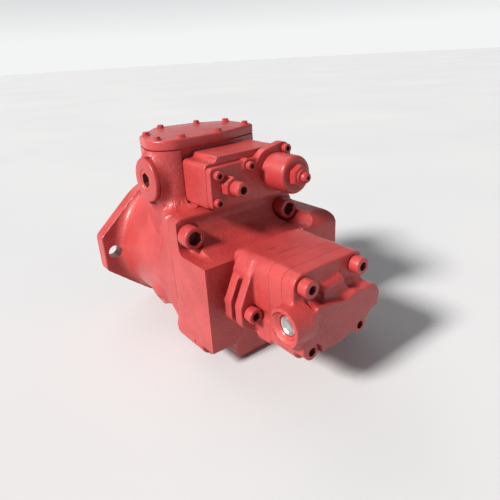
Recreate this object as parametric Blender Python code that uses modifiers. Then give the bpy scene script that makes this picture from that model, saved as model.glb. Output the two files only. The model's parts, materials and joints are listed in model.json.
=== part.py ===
"""Variable-displacement axial piston pump with a pilot gear pump, as separate named sub-parts.

The design frame has its origin at the centre of the mounting flange's face, +Y out along the
drive shaft and +Z up. Everything is parented to one empty, which moves the origin to the
bottom centre of the whole pump.
"""
import math

import bmesh
import bpy
from mathutils import Matrix, Vector

MM = 0.001
GAP = 0.3 * MM                      # left between solids that touch

# Mounting flange: two bolts, 127 mm pilot
PILOT_RADIUS = 63.5 * MM
PILOT_HEIGHT = 12.7 * MM
FLANGE_THICKNESS = 18.5 * MM
FLANGE_HALF_WIDTH = 105.0 * MM
FLANGE_EAR_HALF_HEIGHT = 27.0 * MM
FLANGE_CENTRE_RADIUS = 86.5 * MM
FLANGE_HOLE_X = 90.5 * MM
FLANGE_HOLE_RADIUS = 8.75 * MM
BASE_Z = -85.0 * MM                 # the plane that the pump rests on

# Casing
BARREL_RADIUS = 80.0 * MM
CAVITY_RADIUS = 70.0 * MM
CAVITY_END_Y = -26.0 * MM
SEAM_Y = -155.0 * MM                # casing meets port block
CORNER_TOP = Vector((65.0 * MM, 61.0 * MM))       # main bolt X and Z, upper pair
CORNER_BOTTOM = Vector((58.5 * MM, -71.5 * MM))   # main bolt X and Z, lower pair
CORNER_TOP_RADIUS = 19.5 * MM
CORNER_BOTTOM_RADIUS = 12.2 * MM

# Port block
PLATE_FRONT_Y = -173.0 * MM
BLOCK_LEFT_X = -77.0 * MM
BLOCK_RIGHT_X = 110.0 * MM
BLOCK_FRONT_Y = -222.0 * MM
BLOCK_TOP_Z = 41.0 * MM
BLOCK_BOTTOM_Z = -59.0 * MM
PORT_Y = -197.5 * MM
SUCTION_RADIUS = 16.0 * MM
SUCTION_BOLTS = (29.35 * MM, 15.1 * MM)          # half spacings along X and Y
DELIVERY_RADIUS = 12.5 * MM
DELIVERY_BOLTS = (13.1 * MM, 26.2 * MM)           # half spacings along Y and Z
DELIVERY_Z = 10.0 * MM

# Tilting mechanism: the swash plate swings about a vertical axis through the ball centres
PIVOT_Y = -76.0 * MM
PISTON_COUNT = 7
PITCH_RADIUS = 37.0 * MM
PISTON_RADIUS = 7.9 * MM
BALL_RADIUS = 5.4 * MM
RUNNING_FACE_Y = -65.0 * MM
SHAFT_END_Y = 56.0 * MM

# Servo tower, its cover and the regulator in front of it
TOWER_TOP_Z = 141.7 * MM
COVER_TOP_Z = 153.0 * MM
SERVO_Y = -109.0 * MM
SERVO_Z = 110.0 * MM
SERVO_SPIGOT_X = -68.5 * MM
LEVER_TIP_Y = -97.0 * MM
REGULATOR_LEFT_X = -42.0 * MM
REGULATOR_RIGHT_X = 72.0 * MM
REGULATOR_BACK_Y = -134.3 * MM
REGULATOR_FRONT_Y = -182.0 * MM
REGULATOR_BOTTOM_Z = 84.0 * MM
REGULATOR_TOP_Z = 132.0 * MM
REGULATOR_PLATE_Y = -191.0 * MM
CAP_X = 42.5 * MM
CAP_Z = 112.5 * MM
FLOW_X = -20.0 * MM
FLOW_Z = 108.0 * MM

# Gear pump behind the port block
GEAR_FLANGE_BOLT_X = 53.2 * MM
GEAR_FLANGE_SEAT_Y = -260.0 * MM
GEAR_SEAM_Y = -281.0 * MM
GEAR_BODY_END_Y = -299.0 * MM
GEAR_COVER_SEAT_Y = -314.4 * MM
GEAR_COVER_FACE_Y = -329.0 * MM
GEAR_BOLT_X = 33.4 * MM
GEAR_BOLT_TOP_Z = 44.0 * MM
GEAR_BOLT_BOTTOM_Z = -20.5 * MM
GEAR_TEETH = 12
GEAR_MODULE = 2.0 * MM
GEAR_CENTRES = GEAR_TEETH * GEAR_MODULE
GEAR_PORT = Vector((-58.0 * MM, -313.5 * MM, 10.5 * MM))
GEAR_PORT_RADIUS = 19.0 * MM

AXIS = {"X": Vector((1, 0, 0)), "Y": Vector((0, 1, 0)), "Z": Vector((0, 0, 1))}
OUTLINE_TURN = {
    "X": Matrix(((0, 0, 1), (1, 0, 0), (0, 1, 0))),       # outline in Y and Z, thickness along X
    "Y": Matrix(((1, 0, 0), (0, 0, -1), (0, 1, 0))),      # outline in X and Z, thickness along Y
    "Z": Matrix(((1, 0, 0), (0, 1, 0), (0, 0, 1))),       # outline in X and Y, thickness along Z
}
PAINT = ((0.62, 0.035, 0.03), 0.38, 0.0)
STEEL = ((0.55, 0.56, 0.58), 0.3, 1.0)
DARK_STEEL = ((0.2, 0.2, 0.21), 0.4, 1.0)
BRONZE = ((0.6, 0.42, 0.2), 0.35, 1.0)
RUBBER = ((0.03, 0.03, 0.03), 0.7, 0.0)


# ---------------------------------------------------------------- scene and helper functions

def clear_scene():
    for item in list(bpy.data.objects):
        bpy.data.objects.remove(item, do_unlink=True)


def make_collection(name):
    collection = bpy.data.collections.new(name)
    bpy.context.scene.collection.children.link(collection)
    return collection


def make_material(name, finish):
    colour, roughness, metallic = finish
    material = bpy.data.materials.new(name)
    material.use_nodes = True
    shader = material.node_tree.nodes["Principled BSDF"]
    shader.inputs["Base Color"].default_value = (*colour, 1.0)
    shader.inputs["Roughness"].default_value = roughness
    shader.inputs["Metallic"].default_value = metallic
    return material


def add_object(name, mesh, origin=(0, 0, 0), turn=None):
    """A mesh object at its origin; it starts among the cutters until part() claims it."""
    item = bpy.data.objects.new(name, mesh)
    item.location = origin
    if turn is not None:
        item.rotation_mode = "QUATERNION"
        item.rotation_quaternion = turn.to_quaternion()
    CUTTERS.objects.link(item)
    item.hide_render = True
    item.display_type = "WIRE"
    return item


def part(item, finish):
    """Turns a helper object into one of the pump's named parts."""
    CUTTERS.objects.unlink(item)
    PARTS.objects.link(item)
    item.hide_render = False
    item.display_type = "TEXTURED"
    item.data.materials.clear()
    item.data.materials.append(make_material(item.name, finish))
    return item


def box(name, low, high):
    """A box between two corners, in millimetres."""
    low, high = Vector(low) * MM, Vector(high) * MM
    mesh = bpy.data.meshes.new(name)
    work = bmesh.new()
    bmesh.ops.create_cube(work, size=1.0)
    bmesh.ops.scale(work, vec=high - low, verts=work.verts)
    work.to_mesh(mesh)
    work.free()
    return add_object(name, mesh, (low + high) / 2)


def cylinder(name, radius, start, end, segments=24, end_radius=None):
    """A cylinder or cone between two points, in millimetres."""
    start, end = Vector(start) * MM, Vector(end) * MM
    mesh = bpy.data.meshes.new(name)
    work = bmesh.new()
    bmesh.ops.create_cone(work, cap_ends=True, segments=segments, radius1=radius * MM,
                          radius2=(radius if end_radius is None else end_radius) * MM,
                          depth=(end - start).length)
    work.to_mesh(mesh)
    work.free()
    turn = (end - start).to_track_quat("Z", "Y").to_matrix()
    item = add_object(name, mesh, (start + end) / 2, turn)
    shade(item)
    return item


def shade(item):
    item.data.shade_smooth()
    item.data.set_sharp_from_angle(angle=math.radians(35))


def round_edges(item, width, segments=2):
    bevel = item.modifiers.new("rounded edges", "BEVEL")
    bevel.width = width
    bevel.segments = segments
    bevel.limit_method = "ANGLE"


def turned(name, profile, origin=(0, 0, 0), along="Y", segments=32, ring=False):
    """Turns a profile of (radius, height) pairs, in millimetres, about a world axis.

    Heights run along the axis from the origin. The outer side runs from high to low; a ring's
    profile closes on itself, and a solid's starts and ends on the axis.
    """
    mesh = bpy.data.meshes.new(name)
    points = [(radius * MM, 0, height * MM) for radius, height in profile]
    edges = [(i, i + 1) for i in range(len(points) - 1)]
    if ring:
        edges.append((len(points) - 1, 0))
    mesh.from_pydata(points, edges, [])
    turn = AXIS[along].to_track_quat("Z", "Y").to_matrix()
    item = add_object(name, mesh, Vector(origin) * MM, turn)
    screw = item.modifiers.new("turn", "SCREW")
    screw.steps = segments
    screw.render_steps = segments
    screw.use_merge_vertices = True
    screw.merge_threshold = 0.00001
    screw.use_smooth_shade = True
    return item


def tube(name, outer, inner, high, low, origin=(0, 0, 0), along="Y", segments=32):
    """A plain ring between two heights."""
    profile = [(outer, high), (outer, low), (inner, low), (inner, high)]
    return turned(name, profile, origin, along, segments, ring=True)


def prism(name, points, start, end, along="Y"):
    """A flat outline, in millimetres, as thick as the distance from start to end."""
    curve = bpy.data.curves.new(name, "CURVE")
    curve.dimensions = "2D"
    curve.fill_mode = "BOTH"
    curve.extrude = abs(end - start) / 2 * MM
    spline = curve.splines.new("POLY")
    spline.points.add(len(points) - 1)
    for target, (across, up) in zip(spline.points, points):
        target.co = (across * MM, up * MM, 0, 1)
    spline.use_cyclic_u = True
    guide = bpy.data.objects.new(name + "_outline", curve)
    bpy.context.scene.collection.objects.link(guide)
    bpy.context.view_layer.update()
    evaluated = guide.evaluated_get(bpy.context.evaluated_depsgraph_get())
    mesh = bpy.data.meshes.new_from_object(evaluated)
    bpy.data.objects.remove(guide, do_unlink=True)
    work = bmesh.new()
    work.from_mesh(mesh)
    bmesh.ops.remove_doubles(work, verts=work.verts, dist=0.00001)
    bmesh.ops.recalc_face_normals(work, faces=work.faces)
    work.to_mesh(mesh)
    work.free()
    mesh.name = name
    return add_object(name, mesh, AXIS[along] * (start + end) / 2 * MM, OUTLINE_TURN[along])


def hull_outline(circles):
    """The outline of a belt pulled round circles, each (across, up, radius).

    Each circle becomes a polygon with more sides the larger it is, whose sides touch the
    circle, so that the belt's straight runs along the axes lie exactly at the radius.
    """
    points = []
    for across, up, radius in circles:
        count = 12 if radius < 10 else 20 if radius < 30 else 36
        reach = radius / math.cos(math.pi / count)
        for step in range(count):
            angle = 2 * math.pi * (step + 0.5) / count
            points.append((round(across + reach * math.cos(angle), 6),
                           round(up + reach * math.sin(angle), 6)))
    points = sorted(set(points))

    def half(ordered):
        chain = []
        for point in ordered:
            while len(chain) > 1 and turn_left(chain[-2], chain[-1], point) <= 1e-9:
                chain.pop()
            chain.append(point)
        return chain[:-1]

    return half(points) + half(points[::-1])


def turn_left(first, second, third):
    return ((second[0] - first[0]) * (third[1] - first[1])
            - (second[1] - first[1]) * (third[0] - first[0]))


def arc_slot(radius, half_width, start_deg, end_deg, steps=5):
    """The outline of a kidney-shaped slot about the origin, with round ends."""
    start, end = math.radians(start_deg), math.radians(end_deg)
    points = []
    for side, first, last in ((1, start, end), (-1, end, start)):
        for step in range(steps + 1):
            angle = first + (last - first) * step / steps
            reach = radius + side * half_width
            points.append((reach * math.cos(angle), reach * math.sin(angle)))
        for step in range(1, 4):
            turn = last + side * math.pi * step / 4
            points.append((radius * math.cos(last) + side * half_width * math.cos(turn),
                           radius * math.sin(last) + side * half_width * math.sin(turn)))
    return points


def combine(item, other, operation):
    modifier = item.modifiers.new(operation.lower() + " " + other.name, "BOOLEAN")
    modifier.operation = operation
    modifier.object = other
    modifier.solver = "EXACT"


def join(item, *others):
    for other in others:
        combine(item, other, "UNION")


def cut(item, *others):
    for other in others:
        combine(item, other, "DIFFERENCE")


def mm(value):
    """Metres to millimetres, for the helpers that take millimetres."""
    return value / MM


# ---------------------------------------------------------------- castings

def flange_outline():
    ear = 7
    width, height = mm(FLANGE_HALF_WIDTH) - ear, mm(FLANGE_EAR_HALF_HEIGHT) - ear
    circles = [(sx * width, sz * height, ear) for sx in (-1, 1) for sz in (-1, 1)]
    circles.append((0, 0, mm(FLANGE_CENTRE_RADIUS)))
    base = mm(BASE_Z)
    return [(x, max(z, base)) for x, z in hull_outline(circles)]


def cover_outline(inset=0.0):
    """The servo cover's plan: a broad round left front corner and rounded corners elsewhere."""
    circles = ((-41, -112, 27), (12, -131, 8), (63, -116, 8), (62, -74, 8), (30, -53, 8),
               (-17, -45, 8), (-53, -82, 8))
    return hull_outline([(x, y, radius - inset) for x, y, radius in circles])


def make_front_housing():
    """Casing barrel, mounting flange, corner bosses and the servo tower in one casting."""
    barrel, cavity = mm(BARREL_RADIUS), mm(CAVITY_RADIUS)
    seam, wall, pilot = mm(SEAM_Y), mm(CAVITY_END_Y), mm(PILOT_HEIGHT)
    outside = [(0, pilot), (mm(PILOT_RADIUS), pilot), (mm(PILOT_RADIUS), -4), (barrel, -4),
               (barrel, seam), (0, seam)]
    housing = turned("front_housing", outside, segments=40)
    join(housing, prism("flange plate", flange_outline(), -mm(FLANGE_THICKNESS), 0))
    for side in (-1, 1):
        x, z = side * mm(CORNER_TOP.x), mm(CORNER_TOP.y)
        radius = mm(CORNER_TOP_RADIUS)
        join(housing, cylinder("upper boss", radius, (x, seam, z), (x, seam + 22, z), 20))
        join(housing, cylinder("upper boss ramp", radius - 0.5, (x, seam + 21, z),
                               (x * 0.86, seam + 46, z * 0.86), 16, radius * 0.55))
        x, z = side * mm(CORNER_BOTTOM.x), mm(CORNER_BOTTOM.y)
        radius = mm(CORNER_BOTTOM_RADIUS)
        join(housing, cylinder("lower boss", radius, (x, seam, z), (x, seam + 22, z), 16))
        join(housing, cylinder("lower boss ramp", radius - 0.5, (x, seam + 21, z),
                               (x * 0.8, seam + 42, z * 0.8), 12, radius * 0.6))
    tower = prism("servo tower", cover_outline(), 38, mm(TOWER_TOP_Z), "Z")
    front = mm(REGULATOR_BACK_Y) + mm(GAP)
    cut(tower, box("tower front", (mm(REGULATOR_LEFT_X) - 0.6, -160, 20), (90, front, 160)))
    join(housing, tower)
    servo_y, servo_z = mm(SERVO_Y), mm(SERVO_Z)
    join(housing, cylinder("servo spigot", 25, (-40, servo_y, servo_z),
                           (mm(SERVO_SPIGOT_X), servo_y, servo_z), 24))
    join(housing, cylinder("drain boss", 14, (-60, -104, -30), (-76.2, -104, -36.5), 20))
    hollow = [(0, pilot + 1), (36.0, pilot + 1), (36.0, 2), (33, 2), (33, -2), (40.4, -2),
              (40.4, wall), (cavity, wall), (cavity, seam - 1), (0, seam - 1)]
    cut(housing, turned("casing hollow", hollow, segments=36))
    cut(housing, prism("tower chamber",
                       [(-34, -126), (38, -126), (38, -58), (-34, -58)], 86, 150, "Z"))
    pivot = mm(PIVOT_Y)
    cut(housing, cylinder("upper trunnion bore", 10.8, (0, pivot, 60), (0, pivot, 90), 16))
    cut(housing, cylinder("lower pin bore", 10.5, (0, pivot, -60), (0, pivot, -90), 16))
    cut(housing, cylinder("servo bore", 18.5, (-60, servo_y, servo_z), (62, servo_y, servo_z), 24))
    cut(housing, cylinder("servo plug bore", 20.4, (-90, servo_y, servo_z),
                          (-56, servo_y, servo_z), 24))
    for side in (-1, 1):
        hole = side * mm(FLANGE_HOLE_X)
        cut(housing, cylinder("flange hole", mm(FLANGE_HOLE_RADIUS), (hole, 5, 0),
                              (hole, -30, 0), 20))
        for corner in (CORNER_TOP, CORNER_BOTTOM):
            x, z = side * mm(corner.x), mm(corner.y)
            cut(housing, cylinder("main bolt hole", 8.5, (x, seam - 5, z), (x, seam + 32, z), 12))
    cut(housing, cylinder("drain hole", 6.4, (-50, -104, -26), (-90, -104, -42), 12))
    return part(housing, PAINT)


def make_port_block():
    """End cover with the suction and delivery ports."""
    seam, plate, front = mm(SEAM_Y) - mm(GAP), mm(PLATE_FRONT_Y), mm(BLOCK_FRONT_Y)
    corners = []
    for side in (-1, 1):
        corners.append((side * mm(CORNER_TOP.x), mm(CORNER_TOP.y), mm(CORNER_TOP_RADIUS)))
        corners.append((side * mm(CORNER_BOTTOM.x), mm(CORNER_BOTTOM.y),
                        mm(CORNER_BOTTOM_RADIUS)))
    block = prism("port_block", hull_outline(corners), seam, plate)
    left, right = mm(BLOCK_LEFT_X), mm(BLOCK_RIGHT_X)
    top, bottom, base = mm(BLOCK_TOP_Z), mm(BLOCK_BOTTOM_Z), mm(BASE_Z)
    body = prism("block body", [(left, bottom), (right, bottom), (right, top), (left, top)],
                 seam, front)
    join(block, body)
    lobe = prism("suction lobe", hull_outline([(-33, base + 12, 12), (33, base + 12, 12),
                                               (-33, -40, 12), (33, -40, 12)]), seam, front)
    join(block, lobe)
    shoulder = prism("delivery shoulder", hull_outline([(74, 36, 20), (96, 42, 14), (74, 10, 20),
                                                        (96, 10, 14)]), seam, front)
    side = prism("shoulder side", hull_outline([(-202, 36, 20), (-160, 46, 10), (-160, 0, 10),
                                                (-212, 0, 10)]), 50, 115, "X")
    combine(shoulder, side, "INTERSECT")
    join(block, shoulder)
    ramp = prism("top ramp", [(seam, 70), (plate, 70), (-180, 56), (-190, 47.5), (-203, 42.5),
                              (front + 4, 40), (seam, 40)], -60, 78, "X")
    join(block, ramp)
    for side in (-1, 1):
        x, z = side * mm(CORNER_TOP.x), mm(CORNER_TOP.y)
        pocket = cylinder("bolt head pocket", 15.2, (x, plate, z), (x, front - 5, z), 20)
        cut(block, pocket)
        for corner in (CORNER_TOP, CORNER_BOTTOM):
            x, z = side * mm(corner.x), mm(corner.y)
            cut(block, cylinder("main bolt hole", 8.8, (x, seam + 5, z), (x, plate - 5, z), 12))
    cut(block, cylinder("rear bearing bore", 26.4, (0, seam + 5, 0), (0, -172.5, 0), 24))
    cut(block, cylinder("coupling chamber", 21, (0, -170, 0), (0, front - 5, 0), 24))
    port = mm(PORT_Y)
    cut(block, cylinder("suction port", mm(SUCTION_RADIUS), (0, port, base - 5),
                        (0, port, -26), 24))
    cut(block, prism("suction kidney", arc_slot(37, 5.5, 215, 325), seam + 5, -186))
    cut(block, cylinder("delivery port", mm(DELIVERY_RADIUS), (right + 5, port, mm(DELIVERY_Z)),
                        (34, port, mm(DELIVERY_Z)), 20))
    cut(block, prism("delivery kidney", arc_slot(37, 4.5, 35, 145), seam + 5, -167))
    cut(block, cylinder("delivery passage", 4.5, (31, -160, 21), (38, port, 19), 10))
    for first in (-1, 1):
        for second in (-1, 1):
            x, y = first * mm(SUCTION_BOLTS[0]), port + second * mm(SUCTION_BOLTS[1])
            cut(block, cylinder("suction bolt hole", 5.3, (x, y, base - 5), (x, y, base + 20), 10))
            y, z = port + first * mm(DELIVERY_BOLTS[0]), second * mm(DELIVERY_BOLTS[1])
            z += mm(DELIVERY_Z)
            cut(block, cylinder("delivery bolt hole", 4.3, (right + 5, y, z),
                                (right - 18, y, z), 10))
        x = first * mm(GEAR_FLANGE_BOLT_X)
        cut(block, cylinder("gear pump bolt hole", 5.3, (x, front - 5, 0), (x, front + 22, 0), 10))
    return part(block, PAINT)


def make_top_cover():
    cover = prism("top_cover", cover_outline(), mm(TOWER_TOP_Z) + mm(GAP), mm(COVER_TOP_Z), "Z")
    round_edges(cover, 1.5 * MM)
    return part(cover, PAINT)


def make_regulator_body():
    """Valve casting in front of the servo tower, with a raised pad on top."""
    left, right = mm(REGULATOR_LEFT_X), mm(REGULATOR_RIGHT_X)
    back, front = mm(REGULATOR_BACK_Y), mm(REGULATOR_FRONT_Y)
    bottom, top = mm(REGULATOR_BOTTOM_Z), mm(REGULATOR_TOP_Z)
    outline = hull_outline([(left + 4, bottom + 4, 4), (left + 5, top - 5, 5),
                            (right - 14, top - 14, 14), (right - 10, bottom + 10, 10)])
    body = prism("regulator_body", outline, back, front)
    join(body, prism("raised pad", hull_outline([(-24, 120, 4), (-24, 134.5, 4), (52, 130, 8),
                                                 (52, 120, 4)]), back - 1.5, front))
    cut(body, cylinder("spool bore", 5.8, (mm(FLOW_X), back + 5, mm(FLOW_Z)),
                       (mm(FLOW_X), front - 5, mm(FLOW_Z)), 20))
    cut(body, cylinder("power piston bore", 9, (mm(CAP_X), back + 5, mm(CAP_Z)),
                       (mm(CAP_X), front - 5, mm(CAP_Z)), 20))
    return part(body, PAINT)


def make_regulator_front_plate():
    """Front plate, stepped up round the spring cap."""
    outline = hull_outline([(-38, 90, 4), (-37.5, 124.5, 4.5), (56, 121, 10), (54, 94, 10)])
    plate = prism("regulator_front_plate", outline, mm(REGULATOR_FRONT_Y) - mm(GAP),
                  mm(REGULATOR_PLATE_Y))
    join(plate, prism("cap step", hull_outline([(36, 118, 20), (54, 130, 12),
                                                  (44, 111, 21)]),
                      mm(REGULATOR_FRONT_Y) - mm(GAP), mm(REGULATOR_PLATE_Y) - 1.5))
    cut(plate, cylinder("flow screw hole", 5.4, (mm(FLOW_X), -170, mm(FLOW_Z)),
                        (mm(FLOW_X), -200, mm(FLOW_Z)), 20))
    cut(plate, cylinder("cap hole", 13, (mm(CAP_X), -170, mm(CAP_Z)),
                        (mm(CAP_X), -200, mm(CAP_Z)), 24))
    return part(plate, PAINT)


def make_spring_cap():
    """Turned cap over the power springs, open at the back, with a small bore in front."""
    profile = [(20.5, -193), (20.5, -224.5), (18.5, -226.5), (6.4, -226.5), (6.4, -221),
               (12, -221), (12, -193)]
    cap = turned("spring_cap", [(radius, y - mm(REGULATOR_PLATE_Y)) for radius, y in profile],
                 (mm(CAP_X), mm(REGULATOR_PLATE_Y), mm(CAP_Z)), segments=28, ring=True)
    return part(cap, PAINT)


def gear_body_circles(radius=12.2):
    return [(side * mm(GEAR_BOLT_X), z, radius) for side in (-1, 1)
            for z in (mm(GEAR_BOLT_TOP_Z), mm(GEAR_BOLT_BOTTOM_Z))]


def make_gear_front_section():
    """Mounting flange and front end of the gear pump: two ribs with a groove between them."""
    flange = hull_outline(gear_body_circles()
                          + [(side * 54.5, z, 9.5) for side in (-1, 1) for z in (6, -8)])
    section = prism("gp_front_section", hull_outline(gear_body_circles()), -232.5,
                    mm(GEAR_SEAM_Y))
    join(section, prism("spigot", hull_outline(gear_body_circles(8)),
                        mm(BLOCK_FRONT_Y) - mm(GAP), -234))
    join(section, prism("rear rib", flange, -231.5, -243))
    join(section, prism("front rib", flange, -249, mm(GEAR_FLANGE_SEAT_Y)))
    for side in (-1, 1):
        x = side * mm(GEAR_FLANGE_BOLT_X)
        cut(section, cylinder("head clearance", 9.6, (x, mm(GEAR_FLANGE_SEAT_Y), 0),
                              (x, -290, 0), 20))
        cut(section, cylinder("flange bolt hole", 5.6, (x, -215, 0), (x, -265, 0), 12))
    cut(section, cylinder("coupling bore", 20, (0, -215, 0), (0, -235, 0), 24))
    cut(section, cylinder("drive shaft bore", 8.5, (0, -230, 0), (0, -290, 0), 20))
    up = mm(GEAR_CENTRES)
    cut(section, cylinder("driven shaft bore", 8.5, (0, -264, up), (0, -290, up), 20))
    return part(section, PAINT)


def make_gear_body():
    outline = hull_outline(gear_body_circles())
    body = prism("gp_body", outline, mm(GEAR_SEAM_Y) - mm(GAP), mm(GEAR_BODY_END_Y))
    up = mm(GEAR_CENTRES)
    for z in (0, up):
        cut(body, cylinder("gear bore", 14.6, (0, -270, z), (0, -310, z), 32))
    for side in (-1, 1):
        for z in (mm(GEAR_BOLT_TOP_Z), mm(GEAR_BOLT_BOTTOM_Z)):
            x = side * mm(GEAR_BOLT_X)
            cut(body, cylinder("cover bolt hole", 5.6, (x, -270, z), (x, -310, z), 10))
    port = GEAR_PORT / MM
    cut(body, cylinder("port boss clearance", 19.5, (-33.6, port.y, port.z),
                       (-70, port.y, port.z), 24))
    return part(body, PAINT)


def make_gear_rear_cover():
    """Rear cover with four bolt lugs, a raised front and the side port."""
    start, seat, face = mm(GEAR_BODY_END_Y) - mm(GAP), mm(GEAR_COVER_SEAT_Y), mm(GEAR_COVER_FACE_Y)
    cover = prism("gp_rear_cover", hull_outline(gear_body_circles()), start, seat)
    raised = hull_outline([(-38, 8, 9), (-27, 16, 9), (24, 16, 9), (44, 10, 14),
                           (-14, -18, 8), (10, -18, 8)])
    join(cover, prism("raised front", raised, start - 1, face))
    port = GEAR_PORT / MM
    join(cover, cylinder("port boss", mm(GEAR_PORT_RADIUS), (-34, port.y, port.z),
                         (port.x, port.y, port.z), 24))
    rib = prism("upper rib", hull_outline([(-12, 30, 8), (12, 34, 8), (12, 10, 8),
                                           (-12, 10, 8)]), start - 1, seat - 8)
    join(cover, rib)
    for side in (-1, 1):
        for z in (mm(GEAR_BOLT_TOP_Z), mm(GEAR_BOLT_BOTTOM_Z)):
            x = side * mm(GEAR_BOLT_X)
            cut(cover, cylinder("head clearance", 9.6, (x, seat, z), (x, seat - 40, z), 20))
            cut(cover, cylinder("cover bolt hole", 5.6, (x, -290, z), (x, -330, z), 12))
    up = mm(GEAR_CENTRES)
    for z in (0, up):
        cut(cover, cylinder("shaft end bore", 8.5, (0, -290, z), (0, -318, z), 20))
    cut(cover, cylinder("port bore", 13.2, (port.x - 5, port.y, port.z), (-36, port.y, port.z), 24))
    cut(cover, cylinder("port passage", 5, (-38, port.y, port.z), (-14, -303, port.z), 12))
    return part(cover, PAINT)


# ---------------------------------------------------------------- plugs, screws and adjusters

def socket_screw(name, head_radius, head_height, shank_radius, shank_length, seat, key_radius,
                 finish, direction=-1):
    """A hexagon socket screw whose head stands on the seat, pointing along Y."""
    x, y, z = seat
    head = cylinder(name, head_radius, (x, y, z), (x, y + direction * head_height, z), 16)
    shank = cylinder(name + " shank", shank_radius, (x, y + direction * 0.5, z),
                     (x, y - direction * shank_length, z), 10)
    join(head, shank)
    face = y + direction * head_height
    cut(head, cylinder(name + " socket", key_radius, (x, face - direction * head_height * 0.55, z),
                       (x, face + direction * 3, z), 6))
    return part(head, finish)


def make_main_bolts():
    """Four M16 socket screws that hold the port block on the casing."""
    seat = mm(PLATE_FRONT_Y) - mm(GAP)
    for level, corner in (("upper", CORNER_TOP), ("lower", CORNER_BOTTOM)):
        for side_name, side in (("left", -1), ("right", 1)):
            socket_screw(f"main_bolt_{level}_{side_name}", 12, 16, 8, 45,
                         (side * mm(corner.x), seat, mm(corner.y)), 8.08, PAINT)


def make_gear_pump_bolts():
    """M10 socket screws: two hold the gear pump, four hold its rear cover."""
    seat = mm(GEAR_FLANGE_SEAT_Y) - mm(GAP)
    for side_name, side in (("left", -1), ("right", 1)):
        socket_screw(f"gp_mount_bolt_{side_name}", 8, 10, 5, 55,
                     (side * mm(GEAR_FLANGE_BOLT_X), seat, 0), 4.6, PAINT)
        seat_cover = mm(GEAR_COVER_SEAT_Y) - mm(GAP)
        for level, z in (("upper", GEAR_BOLT_TOP_Z), ("lower", GEAR_BOLT_BOTTOM_Z)):
            socket_screw(f"gp_cover_bolt_{level}_{side_name}", 8, 10, 5, 30,
                         (side * mm(GEAR_BOLT_X), seat_cover, mm(z)), 4.6, PAINT)


def make_servo_plug():
    """Large hexagon socket plug that closes the servo bore."""
    y, z = mm(SERVO_Y), mm(SERVO_Z)
    seat = mm(SERVO_SPIGOT_X) - mm(GAP)
    plug = turned("servo_plug", [(0, -56.5), (20, -56.5), (20, seat), (24.5, seat),
                                 (24.5, seat - 4), (23.3, seat - 5.2), (0, seat - 5.2)],
                  (0, y, z), "X", 28)
    cut(plug, cylinder("servo plug key", 8.7, (seat - 2, y, z), (-90, y, z), 6))
    return part(plug, PAINT)


def make_drain_plug():
    """Hexagon socket plug, flush with its boss."""
    start, end = Vector((-58, -104, -29.2)), Vector((-76.8, -104, -36.72))
    axis = (end - start).normalized()
    plug = cylinder("drain_plug", 6, start, end, 16)
    cut(plug, cylinder("drain plug key", 3.5, end - axis * 5, end + axis * 4, 6))
    return part(plug, PAINT)


def make_gear_port_plug():
    """Plain steel plug that seals the gear pump's side port for transport."""
    port = GEAR_PORT / MM
    plug = turned("gp_port_plug", [(0, -42), (12.6, -42), (12.6, -53), (9, -55), (0, -55.5)],
                  (0, port.y, port.z), "X", 24)
    return part(plug, STEEL)


def make_power_adjuster():
    """Adjusting screw in the spring cap with its lock nut."""
    origin = (mm(CAP_X), -226.5, mm(CAP_Z))
    screw = turned("power_adjusting_screw", [(0, 22), (10, 22), (10, 7), (6, 7), (6, -16.5),
                                             (5, -17.5), (0, -17.5)], origin, segments=24)
    cut(screw, cylinder("power screw key", 3.4, (origin[0], -239, origin[2]),
                        (origin[0], -250, origin[2]), 6))
    part(screw, PAINT)
    nut = cylinder("power_lock_nut", 13.8, (origin[0], -226.9, origin[2]),
                   (origin[0], -235, origin[2]), 6)
    cut(nut, cylinder("power nut thread", 6.4, (origin[0], -220, origin[2]),
                      (origin[0], -245, origin[2]), 20))
    part(nut, PAINT)


def make_flow_adjuster():
    """Socket-headed flow limiting screw with its lock nut."""
    x, z = mm(FLOW_X), mm(FLOW_Z)
    nut = cylinder("flow_lock_nut", 11, (x, -191.4, z), (x, -202, z), 6)
    cut(nut, cylinder("flow nut thread", 5.4, (x, -180, z), (x, -210, z), 20))
    part(nut, PAINT)
    screw = cylinder("flow_adjusting_screw", 5, (x, -178, z), (x, -204, z), 20)
    join(screw, cylinder("flow screw head", 8, (x, -203.5, z), (x, -217, z), 24))
    cut(screw, cylinder("flow screw key", 4.6, (x, -210, z), (x, -222, z), 6))
    return part(screw, PAINT)


# ---------------------------------------------------------------- regulator internals

def make_servo_piston():
    """Stepped piston with a groove that the control lever's tip sits in."""
    profile = [(0, 56), (17.9, 56), (17.9, 5.5), (6, 5.5), (6, -5.5), (17.9, -5.5), (17.9, -50),
               (0, -50)]
    piston = turned("servo_piston", profile, (0, mm(SERVO_Y), mm(SERVO_Z)), "X", 20)
    return part(piston, STEEL)


def make_control_lever():
    """Lever clamped on the swash plate's upper trunnion; its round tip drives the servo."""
    pivot, tip = mm(PIVOT_Y), mm(LEVER_TIP_Y)
    lever = cylinder("control_lever", 15, (0, pivot, 103), (0, pivot, 117), 16)
    join(lever, box("lever arm", (-3.4, tip, 104.5), (3.4, pivot, 115.5)))
    join(lever, cylinder("lever tip", 4.9, (0, tip, 103.5), (0, tip, 116.5), 12))
    cut(lever, cylinder("lever bore", 10.6, (0, pivot, 95), (0, pivot, 125), 16))
    return part(lever, DARK_STEEL)


def make_control_spool():
    """Spool with two control lands."""
    profile = [(0, 17), (5, 17), (5, 9), (3, 9), (3, -2), (5, -2), (5, -12), (3, -12), (3, -18),
               (5, -18), (5, -20), (0, -20)]
    spool = turned("control_spool", profile, (mm(FLOW_X), -155.5, mm(FLOW_Z)), segments=12)
    return part(spool, STEEL)


# ---------------------------------------------------------------- rotating group

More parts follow.
